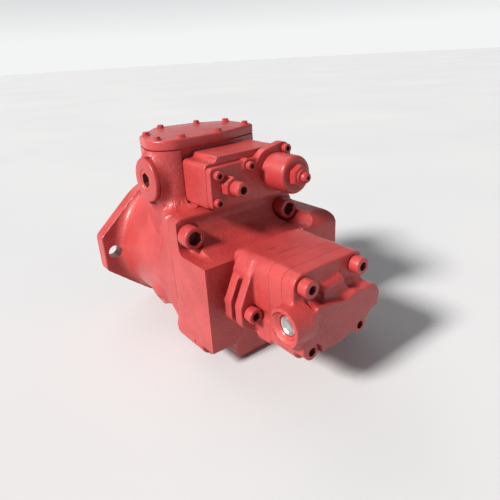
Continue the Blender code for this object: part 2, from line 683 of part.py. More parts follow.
def make_drive_shaft():
    """Splined shaft end, front and rear journals and the cylinder block's spline."""
    profile = [(0, 56), (14.2, 56), (15.6, 54.5), (15.6, 16), (19.7, 14), (19.7, -30), (18, -32),
               (18, -155), (14.7, -156), (14.7, -175), (11.9, -176), (11.9, -203), (0, -203)]
    shaft = turned("drive_shaft", profile, segments=24)
    for tooth in range(14):
        angle = 2 * math.pi * tooth / 14
        across = Vector((math.cos(angle), 0, math.sin(angle))) * 15.9
        cut(shaft, cylinder("spline gap", 1.5, across + Vector((0, 60, 0)),
                            across + Vector((0, 20, 0)), 4))
    return part(shaft, STEEL)


def make_cylinder_block():
    """Barrel with one bore for each piston, a port at each bore's end and the spring chamber."""
    profile = [(54, -94), (54, -148), (18.5, -148), (18.5, -130), (24.5, -130), (24.5, -94)]
    block = turned("cylinder_block", profile, segments=28, ring=True)
    for x, z in piston_places():
        cut(block, cylinder("piston bore", 9.8, (x, -90, z), (x, -140, z), 12))
        cut(block, cylinder("cylinder port", 5, (x, -138, z), (x, -150, z), 8))
    return part(block, STEEL)


def piston_places():
    """Centres of the pistons round the shaft, in millimetres."""
    places = []
    for number in range(PISTON_COUNT):
        angle = 2 * math.pi * (number + 0.25) / PISTON_COUNT
        places.append((mm(PITCH_RADIUS) * math.cos(angle), mm(PITCH_RADIUS) * math.sin(angle)))
    return places


def make_pistons():
    """Pistons with ball ends; each one's origin is its ball's centre."""
    ball = mm(BALL_RADIUS)
    neck, body = 3.4, mm(PISTON_RADIUS)
    arc = [(ball * math.sin(math.radians(a)), ball * math.cos(math.radians(a)))
           for a in range(0, 136, 27)]
    profile = arc + [(neck, -ball), (neck, -6.5), (body, -10.5), (body, -52), (0, -52)]
    for number, (x, z) in enumerate(piston_places(), 1):
        piston = turned(f"piston_{number}", profile, (x, mm(PIVOT_Y), z), segments=12)
        part(piston, STEEL)


def make_slippers():
    """Slipper shoes with a spherical socket round each piston's ball."""
    face = mm(RUNNING_FACE_Y) - mm(PIVOT_Y) - mm(GAP)
    socket = 6.0
    mouth = -1.0
    start = math.degrees(math.acos(mouth / socket))
    cup = [(socket * math.sin(math.radians(start * s / 4)),
            socket * math.cos(math.radians(start * s / 4))) for s in range(4, -1, -1)]
    profile = [(0, face), (9.5, face), (9.5, face - 3.3), (7.3, face - 3.3), (7.3, mouth)] + cup
    for number, (x, z) in enumerate(piston_places(), 1):
        slipper = turned(f"slipper_{number}", profile, (x, mm(PIVOT_Y), z), segments=12)
        part(slipper, BRONZE)


def make_retainer_plate():
    """Plate that holds the slippers' feet on the swash plate."""
    plate = tube("retainer_plate", 48, 22.8, -69.3, -71.7, segments=28)
    for x, z in piston_places():
        cut(plate, cylinder("slipper hole", 8.0, (x, -65, z), (x, -75, z), 12))
    return part(plate, STEEL)


def make_ball_guide():
    """Sphere segment that carries the retainer plate, pushed by the block spring."""
    radius = 22.0
    arc = []
    for step in range(5):
        height = -69.0 - step * 14.0 / 4
        arc.append((math.sqrt(radius ** 2 - (height - mm(PIVOT_Y)) ** 2), height))
    profile = arc + [(22.5, -84.5), (22.5, -94.6), (18.3, -94.6), (18.3, -69)]
    return part(turned("ball_guide", profile, segments=20, ring=True), STEEL)


def make_block_spring():
    """Coil spring between the cylinder block and the ball guide."""
    turns, wire, radius = 4.5, 1.5, 21.4
    start, end = -97.0, -127.6
    count = int(turns * 10)
    curve = bpy.data.curves.new("block_spring", "CURVE")
    curve.dimensions = "3D"
    curve.bevel_depth = wire * MM
    curve.bevel_resolution = 0
    curve.use_fill_caps = True
    spline = curve.splines.new("POLY")
    spline.points.add(count)
    for step, point in enumerate(spline.points):
        angle = 2 * math.pi * turns * step / count
        y = start + (end - start) * step / count
        point.co = (radius * math.cos(angle) * MM, y * MM, radius * math.sin(angle) * MM, 1)
    guide = bpy.data.objects.new("block_spring_path", curve)
    bpy.context.scene.collection.objects.link(guide)
    bpy.context.view_layer.update()
    evaluated = guide.evaluated_get(bpy.context.evaluated_depsgraph_get())
    mesh = bpy.data.meshes.new_from_object(evaluated)
    bpy.data.objects.remove(guide, do_unlink=True)
    work = bmesh.new()
    work.from_mesh(mesh)
    bmesh.ops.remove_doubles(work, verts=work.verts, dist=0.00001)
    bmesh.ops.recalc_face_normals(work, faces=work.faces)
    work.to_mesh(mesh)
    work.free()
    return part(add_object("block_spring", mesh), STEEL)


def make_coupling_sleeve():
    """Sleeve that drives the gear pump from the end of the shaft."""
    profile = [(17.5, -178), (17.5, -232), (8.4, -232), (8.4, -206), (12.3, -206), (12.3, -178)]
    return part(turned("coupling_sleeve", profile, segments=24, ring=True), STEEL)


def make_swash_plate():
    """Tilting plate with two cheeks, an upper trunnion and a bore for the lower pin."""
    pivot = mm(PIVOT_Y)
    face, back = mm(RUNNING_FACE_Y) - pivot, 31
    profile = [(52, back), (52, face), (24, face), (30, back)]
    swash = turned("swash_plate", profile, (0, pivot, 0), segments=32, ring=True)
    for side in (-1, 1):
        cheek = box("swash cheek", (-14, pivot - 12, side * 60 - 4), (14, pivot + 30, side * 60 + 4))
        web = box("cheek web", (-14, pivot + 12, side * 53 - 10), (14, pivot + 29, side * 53 + 10))
        join(swash, web, cheek)
    join(swash, cylinder("upper trunnion", 10, (0, pivot, 60), (0, pivot, 117.5), 16))
    cut(swash, cylinder("lower pin bore", 10.6, (0, pivot, -50), (0, pivot, -70), 16))
    return part(swash, STEEL)


def make_lower_pivot_pin():
    pivot = mm(PIVOT_Y)
    pin = cylinder("lower_pivot_pin", 10, (0, pivot, -57), (0, pivot, -79.5), 16)
    return part(pin, STEEL)


def make_valve_plate():
    """Plate with a suction and a delivery kidney between the block and the ports."""
    plate = tube("valve_plate", 52, 24, -148.3, -155, segments=28)
    cut(plate, prism("suction slot", arc_slot(37, 4.5, 215, 325), -140, -160))
    cut(plate, prism("delivery slot", arc_slot(37, 4, 35, 145), -140, -160))
    return part(plate, BRONZE)


def make_bearings():
    """Cylindrical roller bearing in front, a plain ring bearing at the rear, and the seal."""
    part(tube("front_bearing_outer", 40, 34.3, -2.3, -24, segments=28), STEEL)
    inner = tube("front_bearing_inner", 27, 20, -2.6, -24, segments=24)
    for roller in range(10):
        angle = 2 * math.pi * (roller + 0.5) / 10
        across = Vector((math.cos(angle), 0, math.sin(angle))) * 30
        join(inner, cylinder("roller", 3.7, across + Vector((0, -4, 0)),
                             across + Vector((0, -22, 0)), 8))
    part(inner, STEEL)
    part(tube("rear_bearing", 26, 15.2, -156.2, -172, segments=24), STEEL)
    part(tube("shaft_seal", 35.6, 20.3, 10, 2.4, segments=24), RUBBER)


# ---------------------------------------------------------------- gear pump internals

def gear_outline(phase):
    """Involute-like gear outline with backlash, 28 degree pressure angle."""
    pressure = math.radians(28)
    pitch = mm(GEAR_CENTRES) / 2
    base = pitch * math.cos(pressure)
    outer, root = pitch + 1.75, pitch - 2.3
    backlash = 0.22 / pitch
    half_tooth = math.pi / (2 * GEAR_TEETH) - backlash
    involute_at_pitch = math.tan(pressure) - pressure
    points = []
    for tooth in range(GEAR_TEETH):
        centre = phase + 2 * math.pi * tooth / GEAR_TEETH
        flank = [(root, half_tooth + involute_at_pitch + 0.02)]
        for step in range(3):
            radius = base + (outer - base) * step / 2
            roll = math.acos(min(1.0, base / radius))
            flank.append((radius, half_tooth + involute_at_pitch - (math.tan(roll) - roll)))
        for radius, offset in flank:
            points.append((radius * math.cos(centre - offset), radius * math.sin(centre - offset)))
        for radius, offset in reversed(flank):
            points.append((radius * math.cos(centre + offset), radius * math.sin(centre + offset)))
    return points


def make_gears():
    """The pair of gears, each in one piece with its shaft."""
    front, rear = -286.3, -294.4
    up = mm(GEAR_CENTRES)
    drive = prism("gp_drive_gear", gear_outline(math.pi / 2), front, rear)
    join(drive, cylinder("drive gear shaft", 8, (0, -208, 0), (0, -316, 0), 16))
    part(drive, STEEL)
    tooth_angle = math.pi / GEAR_TEETH
    driven = prism("gp_driven_gear", gear_outline(-math.pi / 2 + tooth_angle), front, rear)
    driven.location.z = GEAR_CENTRES
    join(driven, cylinder("driven gear shaft", 8, (0, -266, up), (0, -316, up), 16))
    part(driven, STEEL)


def make_bushings():
    """Pressure plates either side of the gears, figure-eight shaped."""
    up = mm(GEAR_CENTRES)
    for name, start, end in (("gp_bushing_front", -281.8, -286), ("gp_bushing_rear", -294.7, -298.9)):
        bushing = cylinder(name, 14.2, (0, start, 0), (0, end, 0), 20)
        join(bushing, cylinder(name + " upper", 14.2, (0, start - 0.01, up), (0, end + 0.01, up), 20))
        for z in (0, up):
            cut(bushing, cylinder(name + " bore", 8.4, (0, start + 5, z), (0, end - 5, z), 16))
        part(bushing, BRONZE)


# ---------------------------------------------------------------- assembly

def place_frame():
    """Parents everything to an empty that puts the origin at the pump's bottom centre."""
    middle_x = (BLOCK_RIGHT_X - FLANGE_HALF_WIDTH) / 2
    middle_y = (SHAFT_END_Y + GEAR_PORT.y - GEAR_PORT_RADIUS) / 2
    frame = bpy.data.objects.new("pump_frame", None)
    PARTS.objects.link(frame)
    for item in list(bpy.data.objects):
        if item is not frame:
            item.parent = frame
    frame.location = (-middle_x, -middle_y, -BASE_Z)


def build():
    make_front_housing()
    make_port_block()
    make_top_cover()
    make_regulator_body()
    make_regulator_front_plate()
    make_spring_cap()
    make_gear_front_section()
    make_gear_body()
    make_gear_rear_cover()
    make_main_bolts()
    make_gear_pump_bolts()
    make_servo_plug()
    make_drain_plug()
    make_gear_port_plug()
    make_power_adjuster()
    make_flow_adjuster()
    make_servo_piston()
    make_control_lever()
    make_control_spool()
    make_drive_shaft()
    make_cylinder_block()
    make_pistons()
    make_slippers()
    make_retainer_plate()
    make_ball_guide()
    make_block_spring()
    make_coupling_sleeve()
    make_swash_plate()
    make_lower_pivot_pin()
    make_valve_plate()
    make_bearings()
    make_gears()
    make_bushings()
    place_frame()


clear_scene()
PARTS = make_collection("axial_piston_pump")
CUTTERS = make_collection("cutters")
build()
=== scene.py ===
"""Looks of the axial piston pump: smooth castings, turned pieces, screws, paint and studio.

Shapes are written in millimetres in the pump's design frame: origin at the centre of the mounting
flange's face, +Y out along the drive shaft, +Z up. TO_ROW turns them into the row frame.
"""
import json
import math

import bmesh
import bpy
from mathutils import Matrix, Vector, noise


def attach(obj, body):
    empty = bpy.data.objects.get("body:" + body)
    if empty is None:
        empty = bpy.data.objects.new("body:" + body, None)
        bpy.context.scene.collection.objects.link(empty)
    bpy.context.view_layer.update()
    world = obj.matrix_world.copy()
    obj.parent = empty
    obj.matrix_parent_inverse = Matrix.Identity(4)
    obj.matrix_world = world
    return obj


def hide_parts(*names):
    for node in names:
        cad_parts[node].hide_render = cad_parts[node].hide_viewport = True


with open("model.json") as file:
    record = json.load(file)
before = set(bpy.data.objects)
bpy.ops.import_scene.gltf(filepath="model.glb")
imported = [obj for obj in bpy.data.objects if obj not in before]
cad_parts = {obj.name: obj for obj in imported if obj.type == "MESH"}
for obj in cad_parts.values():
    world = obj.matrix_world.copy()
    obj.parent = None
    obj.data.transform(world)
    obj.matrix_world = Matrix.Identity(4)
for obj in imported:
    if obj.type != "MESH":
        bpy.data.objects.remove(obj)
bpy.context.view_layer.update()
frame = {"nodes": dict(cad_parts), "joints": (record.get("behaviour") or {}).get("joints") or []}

MM = 0.001
JOINTS = {joint["name"]: joint for joint in frame["joints"]}
ORIGIN = Vector(JOINTS["shaft_spin"]["pos_m"])
TO_ROW = Matrix.Translation(ORIGIN) @ Matrix.Scale(MM, 4)

# Mounting flange and casing
FLANGE_THICKNESS = 18.5
FLANGE_HOLE_X = 90.5
FLANGE_HOLE_RADIUS = 8.75
PILOT_RADIUS = 63.5
PILOT_HEIGHT = 12.7
BASE_Z = -85.0
BARREL_RADIUS = 80.0
SEAM_Y = -155.0
SEAM_GAP = 0.3
CORNER_TOP = (65.0, 61.0)
CORNER_BOTTOM = (58.5, -71.5)
CORNER_TOP_RADIUS = 19.5
CORNER_BOTTOM_RADIUS = 12.2
PIVOT_Y = -76.0

# Port block
PLATE_FRONT_Y = -173.0
BLOCK_LEFT_X = -77.0
BLOCK_RIGHT_X = 110.0
BLOCK_FRONT_Y = -222.0
BLOCK_TOP_Z = 41.0
BLOCK_BOTTOM_Z = -59.0
PORT_Y = -197.5
SUCTION_RADIUS = 16.0
SUCTION_BOLTS = (29.35, 15.1)
DELIVERY_RADIUS = 12.5
DELIVERY_BOLTS = (13.1, 26.2)
DELIVERY_Z = 10.0

# Servo tower and regulator
TOWER_TOP_Z = 141.7
COVER_TOP_Z = 153.0
SERVO_Y = -109.0
SERVO_Z = 110.0
REGULATOR_LEFT_X = -42.0
REGULATOR_RIGHT_X = 72.0
REGULATOR_BACK_Y = -134.3
REGULATOR_FRONT_Y = -182.0
REGULATOR_BOTTOM_Z = 84.0
REGULATOR_TOP_Z = 132.0
REGULATOR_PLATE_Y = -191.0
REGULATOR_LUG_RISE = 1.5           # the plate's two lugs stand this far above it
SERVO_SPIGOT_X = -68.5
SERVO_SPIGOT_RADIUS = 25.0
SERVO_BORE_RADIUS = 18.5
SERVO_PLUG_BORE_RADIUS = 20.4
DRAIN_BOSS = ((-60, -104, -30), (-76.2, -104, -36.5))
CAP_X = 42.5
CAP_Z = 112.5
CAP_END_Y = -226.5
FLOW_X = -20.0
FLOW_Z = 108.0

# Gear pump
GEAR_FLANGE_BOLT_X = 53.2
GEAR_FLANGE_SEAT_Y = -260.0
GEAR_SEAM_Y = -281.0
GEAR_BODY_END_Y = -299.0
GEAR_COVER_SEAT_Y = -314.4
GEAR_COVER_FACE_Y = -329.0
GEAR_BOLT_X = 33.4
GEAR_BOLT_TOP_Z = 44.0
GEAR_BOLT_BOTTOM_Z = -20.5
GEAR_CENTRES = 24.0
GEAR_PORT = (-58.0, -313.5, 10.5)
GEAR_CORNER_RADIUS = 12.2
GEAR_GROOVES = ((-255, -29, 2), (-268, -22, 9))    # Y of the middle, first X, last X

# Small screws: X and Y on the servo cover, and X, Z and rise on the regulator's plate
COVER_SCREWS = ((-53, -82), (-59, -120), (-17, -48), (-35, -130), (30, -56), (12, -131),
                (61, -76), (62, -115))
PLATE_SCREWS = ((-33.5, 121.4, 0), (-35.5, 93, 0), (6.6, 124.3, REGULATOR_LUG_RISE),
                (56.8, 134.7, REGULATOR_LUG_RISE))

# Meshing of the castings, in millimetres
VOXEL = 1.2
SKIN = 1.4                         # stock left on a face that is machined after casting
SEAM_STOCK = 9.0                   # stock left on the casing's and the block's joint faces
ROUND_STEPS = 96
FAR = 400.0                        # past every piece, for the cutters of machined faces

# Camera, in the design frame
CAMERA_POSITION = Vector((-278.8, -567.8, 236.8))
CAMERA_AZIMUTH = -36.76
CAMERA_ELEVATION = 23.94
CAMERA_ROLL = -3.28
CAMERA_LENS = 32.7

# Where the studio's lights stand, as seen from the pump
KEY_DIRECTION = (-0.78, 0.03, 0.62)
RIM_DIRECTION = (0.1, 0.75, 0.65)

AXIS = {"X": Vector((1, 0, 0)), "Y": Vector((0, 1, 0)), "Z": Vector((0, 0, 1))}
OUTLINE_TURN = {
    "X": Matrix(((0, 0, 1), (1, 0, 0), (0, 1, 0))),
    "Y": Matrix(((1, 0, 0), (0, 0, -1), (0, 1, 0))),
    "Z": Matrix(((1, 0, 0), (0, 1, 0), (0, 0, 1))),
}


# ---------------------------------------------------------------- outlines

def hull_outline(circles, steps=48):
    """The outline of a belt pulled round circles, each (across, up, radius)."""
    points = []
    for across, up, radius in circles:
        for step in range(steps):
            angle = 2 * math.pi * step / steps
            points.append((round(across + radius * math.cos(angle), 4),
                           round(up + radius * math.sin(angle), 4)))
    points = sorted(set(points))

    def half(ordered):
        chain = []
        for point in ordered:
            while len(chain) > 1 and turn_left(chain[-2], chain[-1], point) <= 1e-6:
                chain.pop()
            chain.append(point)
        return chain[:-1]

    return half(points) + half(points[::-1])


def turn_left(first, second, third):
    """More than zero where the path through three points bends to the left."""
    return ((second[0] - first[0]) * (third[1] - first[1])
            - (second[1] - first[1]) * (third[0] - first[0]))


def arc_slot(radius, half_width, start_deg, end_deg, steps=16):
    """The outline of a kidney-shaped slot about the origin, with round ends."""
    start, end = math.radians(start_deg), math.radians(end_deg)
    points = []
    for side, first, last in ((1, start, end), (-1, end, start)):
        for step in range(steps + 1):
            angle = first + (last - first) * step / steps
            reach = radius + side * half_width
            points.append((reach * math.cos(angle), reach * math.sin(angle)))
        for step in range(1, 8):
            turn = last + side * math.pi * step / 8
            points.append((radius * math.cos(last) + side * half_width * math.cos(turn),
                           radius * math.sin(last) + side * half_width * math.sin(turn)))
    return points


def flange_outline():
    ear, half_width, half_height, centre = 7, 98, 20, 86.5
    circles = [(sx * half_width, sz * half_height, ear) for sx in (-1, 1) for sz in (-1, 1)]
    circles.append((0, 0, centre))
    return [(x, max(z, BASE_Z)) for x, z in hull_outline(circles, 96)]


def cover_outline():
    return hull_outline([(-41, -112, 27), (12, -131, 8), (63, -116, 8), (62, -74, 8), (30, -53, 8),
                         (-17, -45, 8), (-53, -82, 8)])


def gear_body_circles(radius=GEAR_CORNER_RADIUS):
    return [(side * GEAR_BOLT_X, z, radius) for side in (-1, 1)
            for z in (GEAR_BOLT_TOP_Z, GEAR_BOLT_BOTTOM_Z)]


def corner_circles():
    circles = []
    for side in (-1, 1):
        circles.append((side * CORNER_TOP[0], CORNER_TOP[1], CORNER_TOP_RADIUS))
        circles.append((side * CORNER_BOTTOM[0], CORNER_BOTTOM[1], CORNER_BOTTOM_RADIUS))
    return circles


# ---------------------------------------------------------------- meshes from outlines and profiles

def to_mesh(work, name="shape"):
    """Closes a bmesh: outward normals, the row frame's metres, and a new mesh."""
    bmesh.ops.remove_doubles(work, verts=work.verts, dist=0.0005)
    bmesh.ops.recalc_face_normals(work, faces=work.faces)
    work.transform(TO_ROW)
    mesh = bpy.data.meshes.new(name)
    work.to_mesh(mesh)
    work.free()
    return mesh


def loft(first, second):
    """A closed solid between two rows of as many points."""
    work = bmesh.new()
    rows = [[work.verts.new(point) for point in row] for row in (first, second)]
    work.faces.new(rows[0])
    work.faces.new(rows[1])
    for index in range(len(first)):
        after = (index + 1) % len(first)
        work.faces.new((rows[0][index], rows[0][after], rows[1][after], rows[1][index]))
    return to_mesh(work)


def prism(outline, start, end, along="Y"):
    """The outline drawn out along one axis; its points lie along the other two, as X, Y or Z."""
    flat = [OUTLINE_TURN[along] @ Vector((a, b, 0)) for a, b in outline]
    return loft(*([point + AXIS[along] * height for point in flat] for height in (start, end)))


def hull_between(first, first_y, second, second_y):
    """The convex solid that spans two outlines in X and Z, each at its own Y."""
    work = bmesh.new()
    for outline, y in ((first, first_y), (second, second_y)):
        for across, up in outline:
            work.verts.new((across, y, up))
    bmesh.ops.convex_hull(work, input=work.verts)
    return to_mesh(work)


def block(low, high):
    """A box between two opposite corners."""
    return prism([(low[0], low[1]), (high[0], low[1]), (high[0], high[1]), (low[0], high[1])],
                 low[2], high[2], "Z")


def turn_to(direction):
    """The rotation that points +Z along a direction."""
    return direction.to_track_quat("Z", "Y").to_matrix().to_4x4()


def rod(radius, start, end, end_radius=None, steps=64):
    """A cylinder or cone between two points."""
    start, end = Vector(start), Vector(end)
    work = bmesh.new()
    bmesh.ops.create_cone(work, cap_ends=True, segments=steps, radius1=radius,
                          radius2=radius if end_radius is None else end_radius,
                          depth=(end - start).length)
    work.transform(Matrix.Translation((start + end) / 2) @ turn_to(end - start))
    return to_mesh(work)


def lathe(profile, origin=(0, 0, 0), axis=AXIS["Y"], steps=ROUND_STEPS, ring=False):
    """Turns (radius, height) points about an axis through the origin point.

    The profile of a ring is closed by an edge from its last point to its first.
    """
    work = bmesh.new()
    verts = [work.verts.new((radius, 0, height)) for radius, height in profile]
    edges = [work.edges.new(pair) for pair in zip(verts, verts[1:])]
    if ring:
        edges.append(work.edges.new((verts[-1], verts[0])))
    bmesh.ops.spin(work, geom=verts + edges, cent=(0, 0, 0), axis=(0, 0, 1),
                   angle=2 * math.pi, steps=steps, use_merge=True)
    work.transform(Matrix.Translation(origin) @ turn_to(axis))
    return to_mesh(work)


def hexagon(width, start, end, rim=0.0, turn_deg=0.0):
    """A hexagonal prism, or with a rim a nut whose corners are chamfered by a cone."""
    radius = width / math.cos(math.pi / 6) / 2
    start, end = Vector(start), Vector(end)
    length = (end - start).length
    work = bmesh.new()
    bmesh.ops.create_cone(work, cap_ends=True, segments=6, radius1=radius, radius2=radius,
                          depth=length)
    work.transform(Matrix.Rotation(math.radians(turn_deg), 4, "Z"))
    work.transform(Matrix.Translation((start + end) / 2) @ turn_to(end - start))
    mesh = to_mesh(work)
    if not rim:
        return mesh
    inner, outer = width / 2 - 0.6, radius + 0.6
    rounded = [(0, length), (inner, length), (outer, length - rim), (outer, rim), (inner, 0), (0, 0)]
    return shape_of("nut", mesh, ("INTERSECT", lathe(rounded, start, end - start)))


# ---------------------------------------------------------------- objects

def new_object(name, mesh):
    item = bpy.data.objects.new(name, mesh)
    bpy.context.scene.collection.objects.link(item)
    return item


def settle(item):
    """Replaces an object's mesh by what its modifiers make of it."""
    bpy.context.view_layer.update()
    evaluated = item.evaluated_get(bpy.context.evaluated_depsgraph_get())
    mesh = bpy.data.meshes.new_from_object(evaluated)
    item.modifiers.clear()
    item.data = mesh


def shape_of(name, mesh, *steps):
    """The mesh after Boolean steps, each (operation, other mesh)."""
    item = new_object(name, mesh)
    apply_booleans(item, steps)
    result = item.data
    bpy.data.objects.remove(item, do_unlink=True)
    return result


def apply_booleans(item, steps):
    helpers = []
    for operation, mesh in steps:
        helper = new_object("cutter", mesh)
        helpers.append(helper)
        modifier = item.modifiers.new("step", "BOOLEAN")
        modifier.operation = operation
        modifier.solver = "MANIFOLD"
        modifier.object = helper
    settle(item)
    for helper in helpers:
        bpy.data.objects.remove(helper, do_unlink=True)


def carve(item, *meshes):
    apply_booleans(item, [("DIFFERENCE", mesh) for mesh in meshes])


def mill(item, axis, level, side):
    """Machines a flat face: cuts off all that lies past a level on the side of +1 or -1."""
    low, high = [-FAR] * 3, [FAR] * 3
    bound = low if side > 0 else high
    bound["XYZ".index(axis)] = level
    carve(item, block(low, high))


def weld(item, *meshes):
    apply_booleans(item, [("UNION", mesh) for mesh in meshes])


def together(meshes):
    """One mesh from several that may overlap."""
    work = bmesh.new()
    for mesh in meshes:
        work.from_mesh(mesh)
    result = bpy.data.meshes.new("shells")
    work.to_mesh(result)
    work.free()
    return result


def remesh(item, voxel):
    """Adds a modifier that rebuilds the surface from a grid of the given size."""
    modifier = item.modifiers.new("remesh", "REMESH")
    modifier.mode = "VOXEL"
    modifier.voxel_size = voxel * MM


def offset(item, amount):
    """Adds a modifier that grows the surface, or shrinks it by a negative amount."""
    modifier = item.modifiers.new("offset", "DISPLACE")
    modifier.strength = amount * MM
    modifier.mid_level = 0.0


def casting(name, meshes, fillet=4.0, rounding=8, voxel=VOXEL, keep=0.4, waviness=0.12):
    """Fuses overlapping shells into one skin with filled inner corners and rounded edges.

    The skin is grown and shrunk by the fillet, which leaves a round fillet in every inner corner.
    """
    item = new_object(name, together(meshes))
    remesh(item, voxel)
    if fillet:
        offset(item, fillet)
        remesh(item, voxel)
        offset(item, -fillet)
    smooth = item.modifiers.new("smooth", "SMOOTH")
    smooth.factor = 0.5
    smooth.iterations = rounding
    fewer = item.modifiers.new("fewer", "DECIMATE")
    fewer.ratio = keep
    settle(item)
    wave(item.data, waviness)
    return item


def wave(mesh, amount):
    """Pushes every vertex in or out a little, like the skin of a sand casting."""
    places = [vertex.co.copy() for vertex in mesh.vertices]
    normals = [vertex.normal.copy() for vertex in mesh.vertices]
    moved = []
    for place, normal in zip(places, normals):
        bend = noise.noise(place / (14 * MM)) * 0.7 + noise.noise(place / (5 * MM)) * 0.3
        moved.extend(place + normal * bend * amount * MM)
    mesh.vertices.foreach_set("co", moved)
    mesh.update()


def done(item, body, material, slot, *nodes, angle=32, recess=None):
    """Shades a finished piece, gives it its finish and ties it to the frame.

    A recess is (centre, direction, radius, depth) of a socket. Its faces that are deeper than the
    depth, against the direction, get a dark red: painted shade deep in the socket.
    """
    item.data.materials.clear()
    item.data.materials.append(material)
    if recess:
        # second slot: painted shade deep in the socket
        item.data.materials.append(RECESS_SHADE_PAINT)
        centre, direction, radius, depth = recess
        for face in item.data.polygons:
            reach = TO_ROW.inverted() @ face.center - Vector(centre)
            along = reach.dot(direction)
            if along < -depth and (reach - direction * along).length < radius:
                face.material_index = 1
    item.data.shade_smooth()
    item.data.set_sharp_from_angle(angle=math.radians(angle))
    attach(item, body)
    if nodes:
        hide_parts(*nodes)
    return item


# ---------------------------------------------------------------- materials

def new_material(name, metallic=0.0):
    material = bpy.data.materials.new(name)
    material.use_nodes = True
    nodes = material.node_tree.nodes
    shader = nodes["Principled BSDF"]
    shader.inputs["Metallic"].default_value = metallic
    return material, nodes, material.node_tree.links, shader


def noise_node(nodes, links, place, scale, detail=3.0, roughness=0.55):
    node = nodes.new("ShaderNodeTexNoise")
    node.inputs["Scale"].default_value = scale
    node.inputs["Detail"].default_value = detail
    node.inputs["Roughness"].default_value = roughness
    links.new(place, node.inputs["Vector"])
    return node.outputs["Fac"]


def wave_node(nodes, links, place, scale, distortion, detail=2.0):
    """Parallel lines across Y, as a tool leaves them on a turned face."""
    node = nodes.new("ShaderNodeTexWave")
    node.bands_direction = "Y"
    node.inputs["Scale"].default_value = scale
    node.inputs["Distortion"].default_value = distortion
    node.inputs["Detail"].default_value = detail
    links.new(place, node.inputs["Vector"])
    return node.outputs["Fac"]


def ramp_node(nodes, links, value, low, high, low_colour, high_colour):
    node = nodes.new("ShaderNodeValToRGB")
    node.color_ramp.elements[0].position = low
    node.color_ramp.elements[0].color = (*low_colour, 1)
    node.color_ramp.elements[1].position = high
    node.color_ramp.elements[1].color = (*high_colour, 1)
    links.new(value, node.inputs["Fac"])
    return node.outputs["Color"]


def range_node(nodes, links, value, from_low, from_high, to_low, to_high):
    node = nodes.new("ShaderNodeMapRange")
    node.inputs["From Min"].default_value = from_low
    node.inputs["From Max"].default_value = from_high
    node.inputs["To Min"].default_value = to_low
    node.inputs["To Max"].default_value = to_high
    links.new(value, node.inputs["Value"])
    return node.outputs["Result"]


def mix_node(nodes, links, factor, first, second):
    """Mixes a colour from another node with a plain colour."""
    node = nodes.new("ShaderNodeMix")
    node.data_type = "RGBA"
    links.new(factor, node.inputs["Factor"])
    under, over = [socket for socket in node.inputs if socket.type == "RGBA"]
    links.new(first, under)
    over.default_value = (*second, 1)
    return next(socket for socket in node.outputs if socket.type == "RGBA")


def bump_node(nodes, links, height, strength, distance, normal=None):
    node = nodes.new("ShaderNodeBump")
    node.inputs["Strength"].default_value = strength
    node.inputs["Distance"].default_value = distance
    links.new(height, node.inputs["Height"])
    if normal is not None:
        links.new(normal, node.inputs["Normal"])
    return node.outputs["Normal"]


RED = (0.42, 0.043, 0.040)
RED_DEEP = (0.34, 0.028, 0.028)
RED_PALE = (0.56, 0.12, 0.11)
# dark red of the painted shade in hollow corners and creases
RED_CREASE_SHADE = (0.075, 0.010, 0.011)


def paint(name, cast=1.0, turned_lines=0.0):
    """Red enamel brushed over cast iron: patchy film, orange peel, painted highlights on edges,
    painted shade in corners.
    """
    material, nodes, links, shader = new_material(name)
    place = nodes.new("ShaderNodeTexCoord").outputs["Object"]
    patches = noise_node(nodes, links, place, 26, 4.0)
    colour = ramp_node(nodes, links, patches, 0.34, 0.66, RED_DEEP, RED)
    speckle = noise_node(nodes, links, place, 900, 2.0)
    colour = mix_node(nodes, links, range_node(nodes, links, speckle, 0.54, 0.72, 0.0, 0.3 * cast),
                      colour, RED_PALE)
    edges = nodes.new("ShaderNodeNewGeometry").outputs["Pointiness"]
    # painted highlight: convex edges mixed toward pale red
    edge_highlight = range_node(nodes, links, edges, 0.56, 0.68, 0.0, 0.45)
    colour = mix_node(nodes, links, edge_highlight, colour, RED_PALE)
    # painted shade: hollow corners and creases mixed toward dark red
    crease_shade = range_node(nodes, links, edges, 0.465, 0.38, 0.0, 0.8)
    colour = mix_node(nodes, links, crease_shade, colour, RED_CREASE_SHADE)
    links.new(colour, shader.inputs["Base Color"])
    film = noise_node(nodes, links, place, 60, 3.0)
    links.new(range_node(nodes, links, film, 0.3, 0.7, 0.30, 0.48), shader.inputs["Roughness"])
    grain = noise_node(nodes, links, place, 420, 4.0, 0.65)
    normal = bump_node(nodes, links, grain, 0.62 * cast, 0.0012)
    lumps = noise_node(nodes, links, place, 150, 2.0)
    normal = bump_node(nodes, links, lumps, 0.32 * cast, 0.0014, normal)
    peel = noise_node(nodes, links, place, 1500, 2.0)
    normal = bump_node(nodes, links, peel, 0.18, 0.0003, normal)
    if turned_lines:
        lines = wave_node(nodes, links, place, turned_lines, 0.6, 1.0)
        normal = bump_node(nodes, links, lines, 0.35, 0.0003, normal)
    links.new(normal, shader.inputs["Normal"])
    shader.inputs["Specular IOR Level"].default_value = 0.4
    shader.inputs["Coat Weight"].default_value = 0.25
    shader.inputs["Coat Roughness"].default_value = 0.24
    return material


def steel(name, colour, rough=0.3):
    """Turned or ground steel with fine tool lines and a little oil staining."""
    material, nodes, links, shader = new_material(name, metallic=1.0)
    place = nodes.new("ShaderNodeTexCoord").outputs["Object"]
    stain = noise_node(nodes, links, place, 70, 4.0)
    darker = tuple(value * 0.72 for value in colour)
    links.new(ramp_node(nodes, links, stain, 0.35, 0.7, darker, colour), shader.inputs["Base Color"])
    links.new(range_node(nodes, links, stain, 0.3, 0.7, rough, rough + 0.14),
              shader.inputs["Roughness"])
    lines = wave_node(nodes, links, place, 900, 1.5)
    links.new(bump_node(nodes, links, lines, 0.12, 0.0001), shader.inputs["Normal"])
    return material


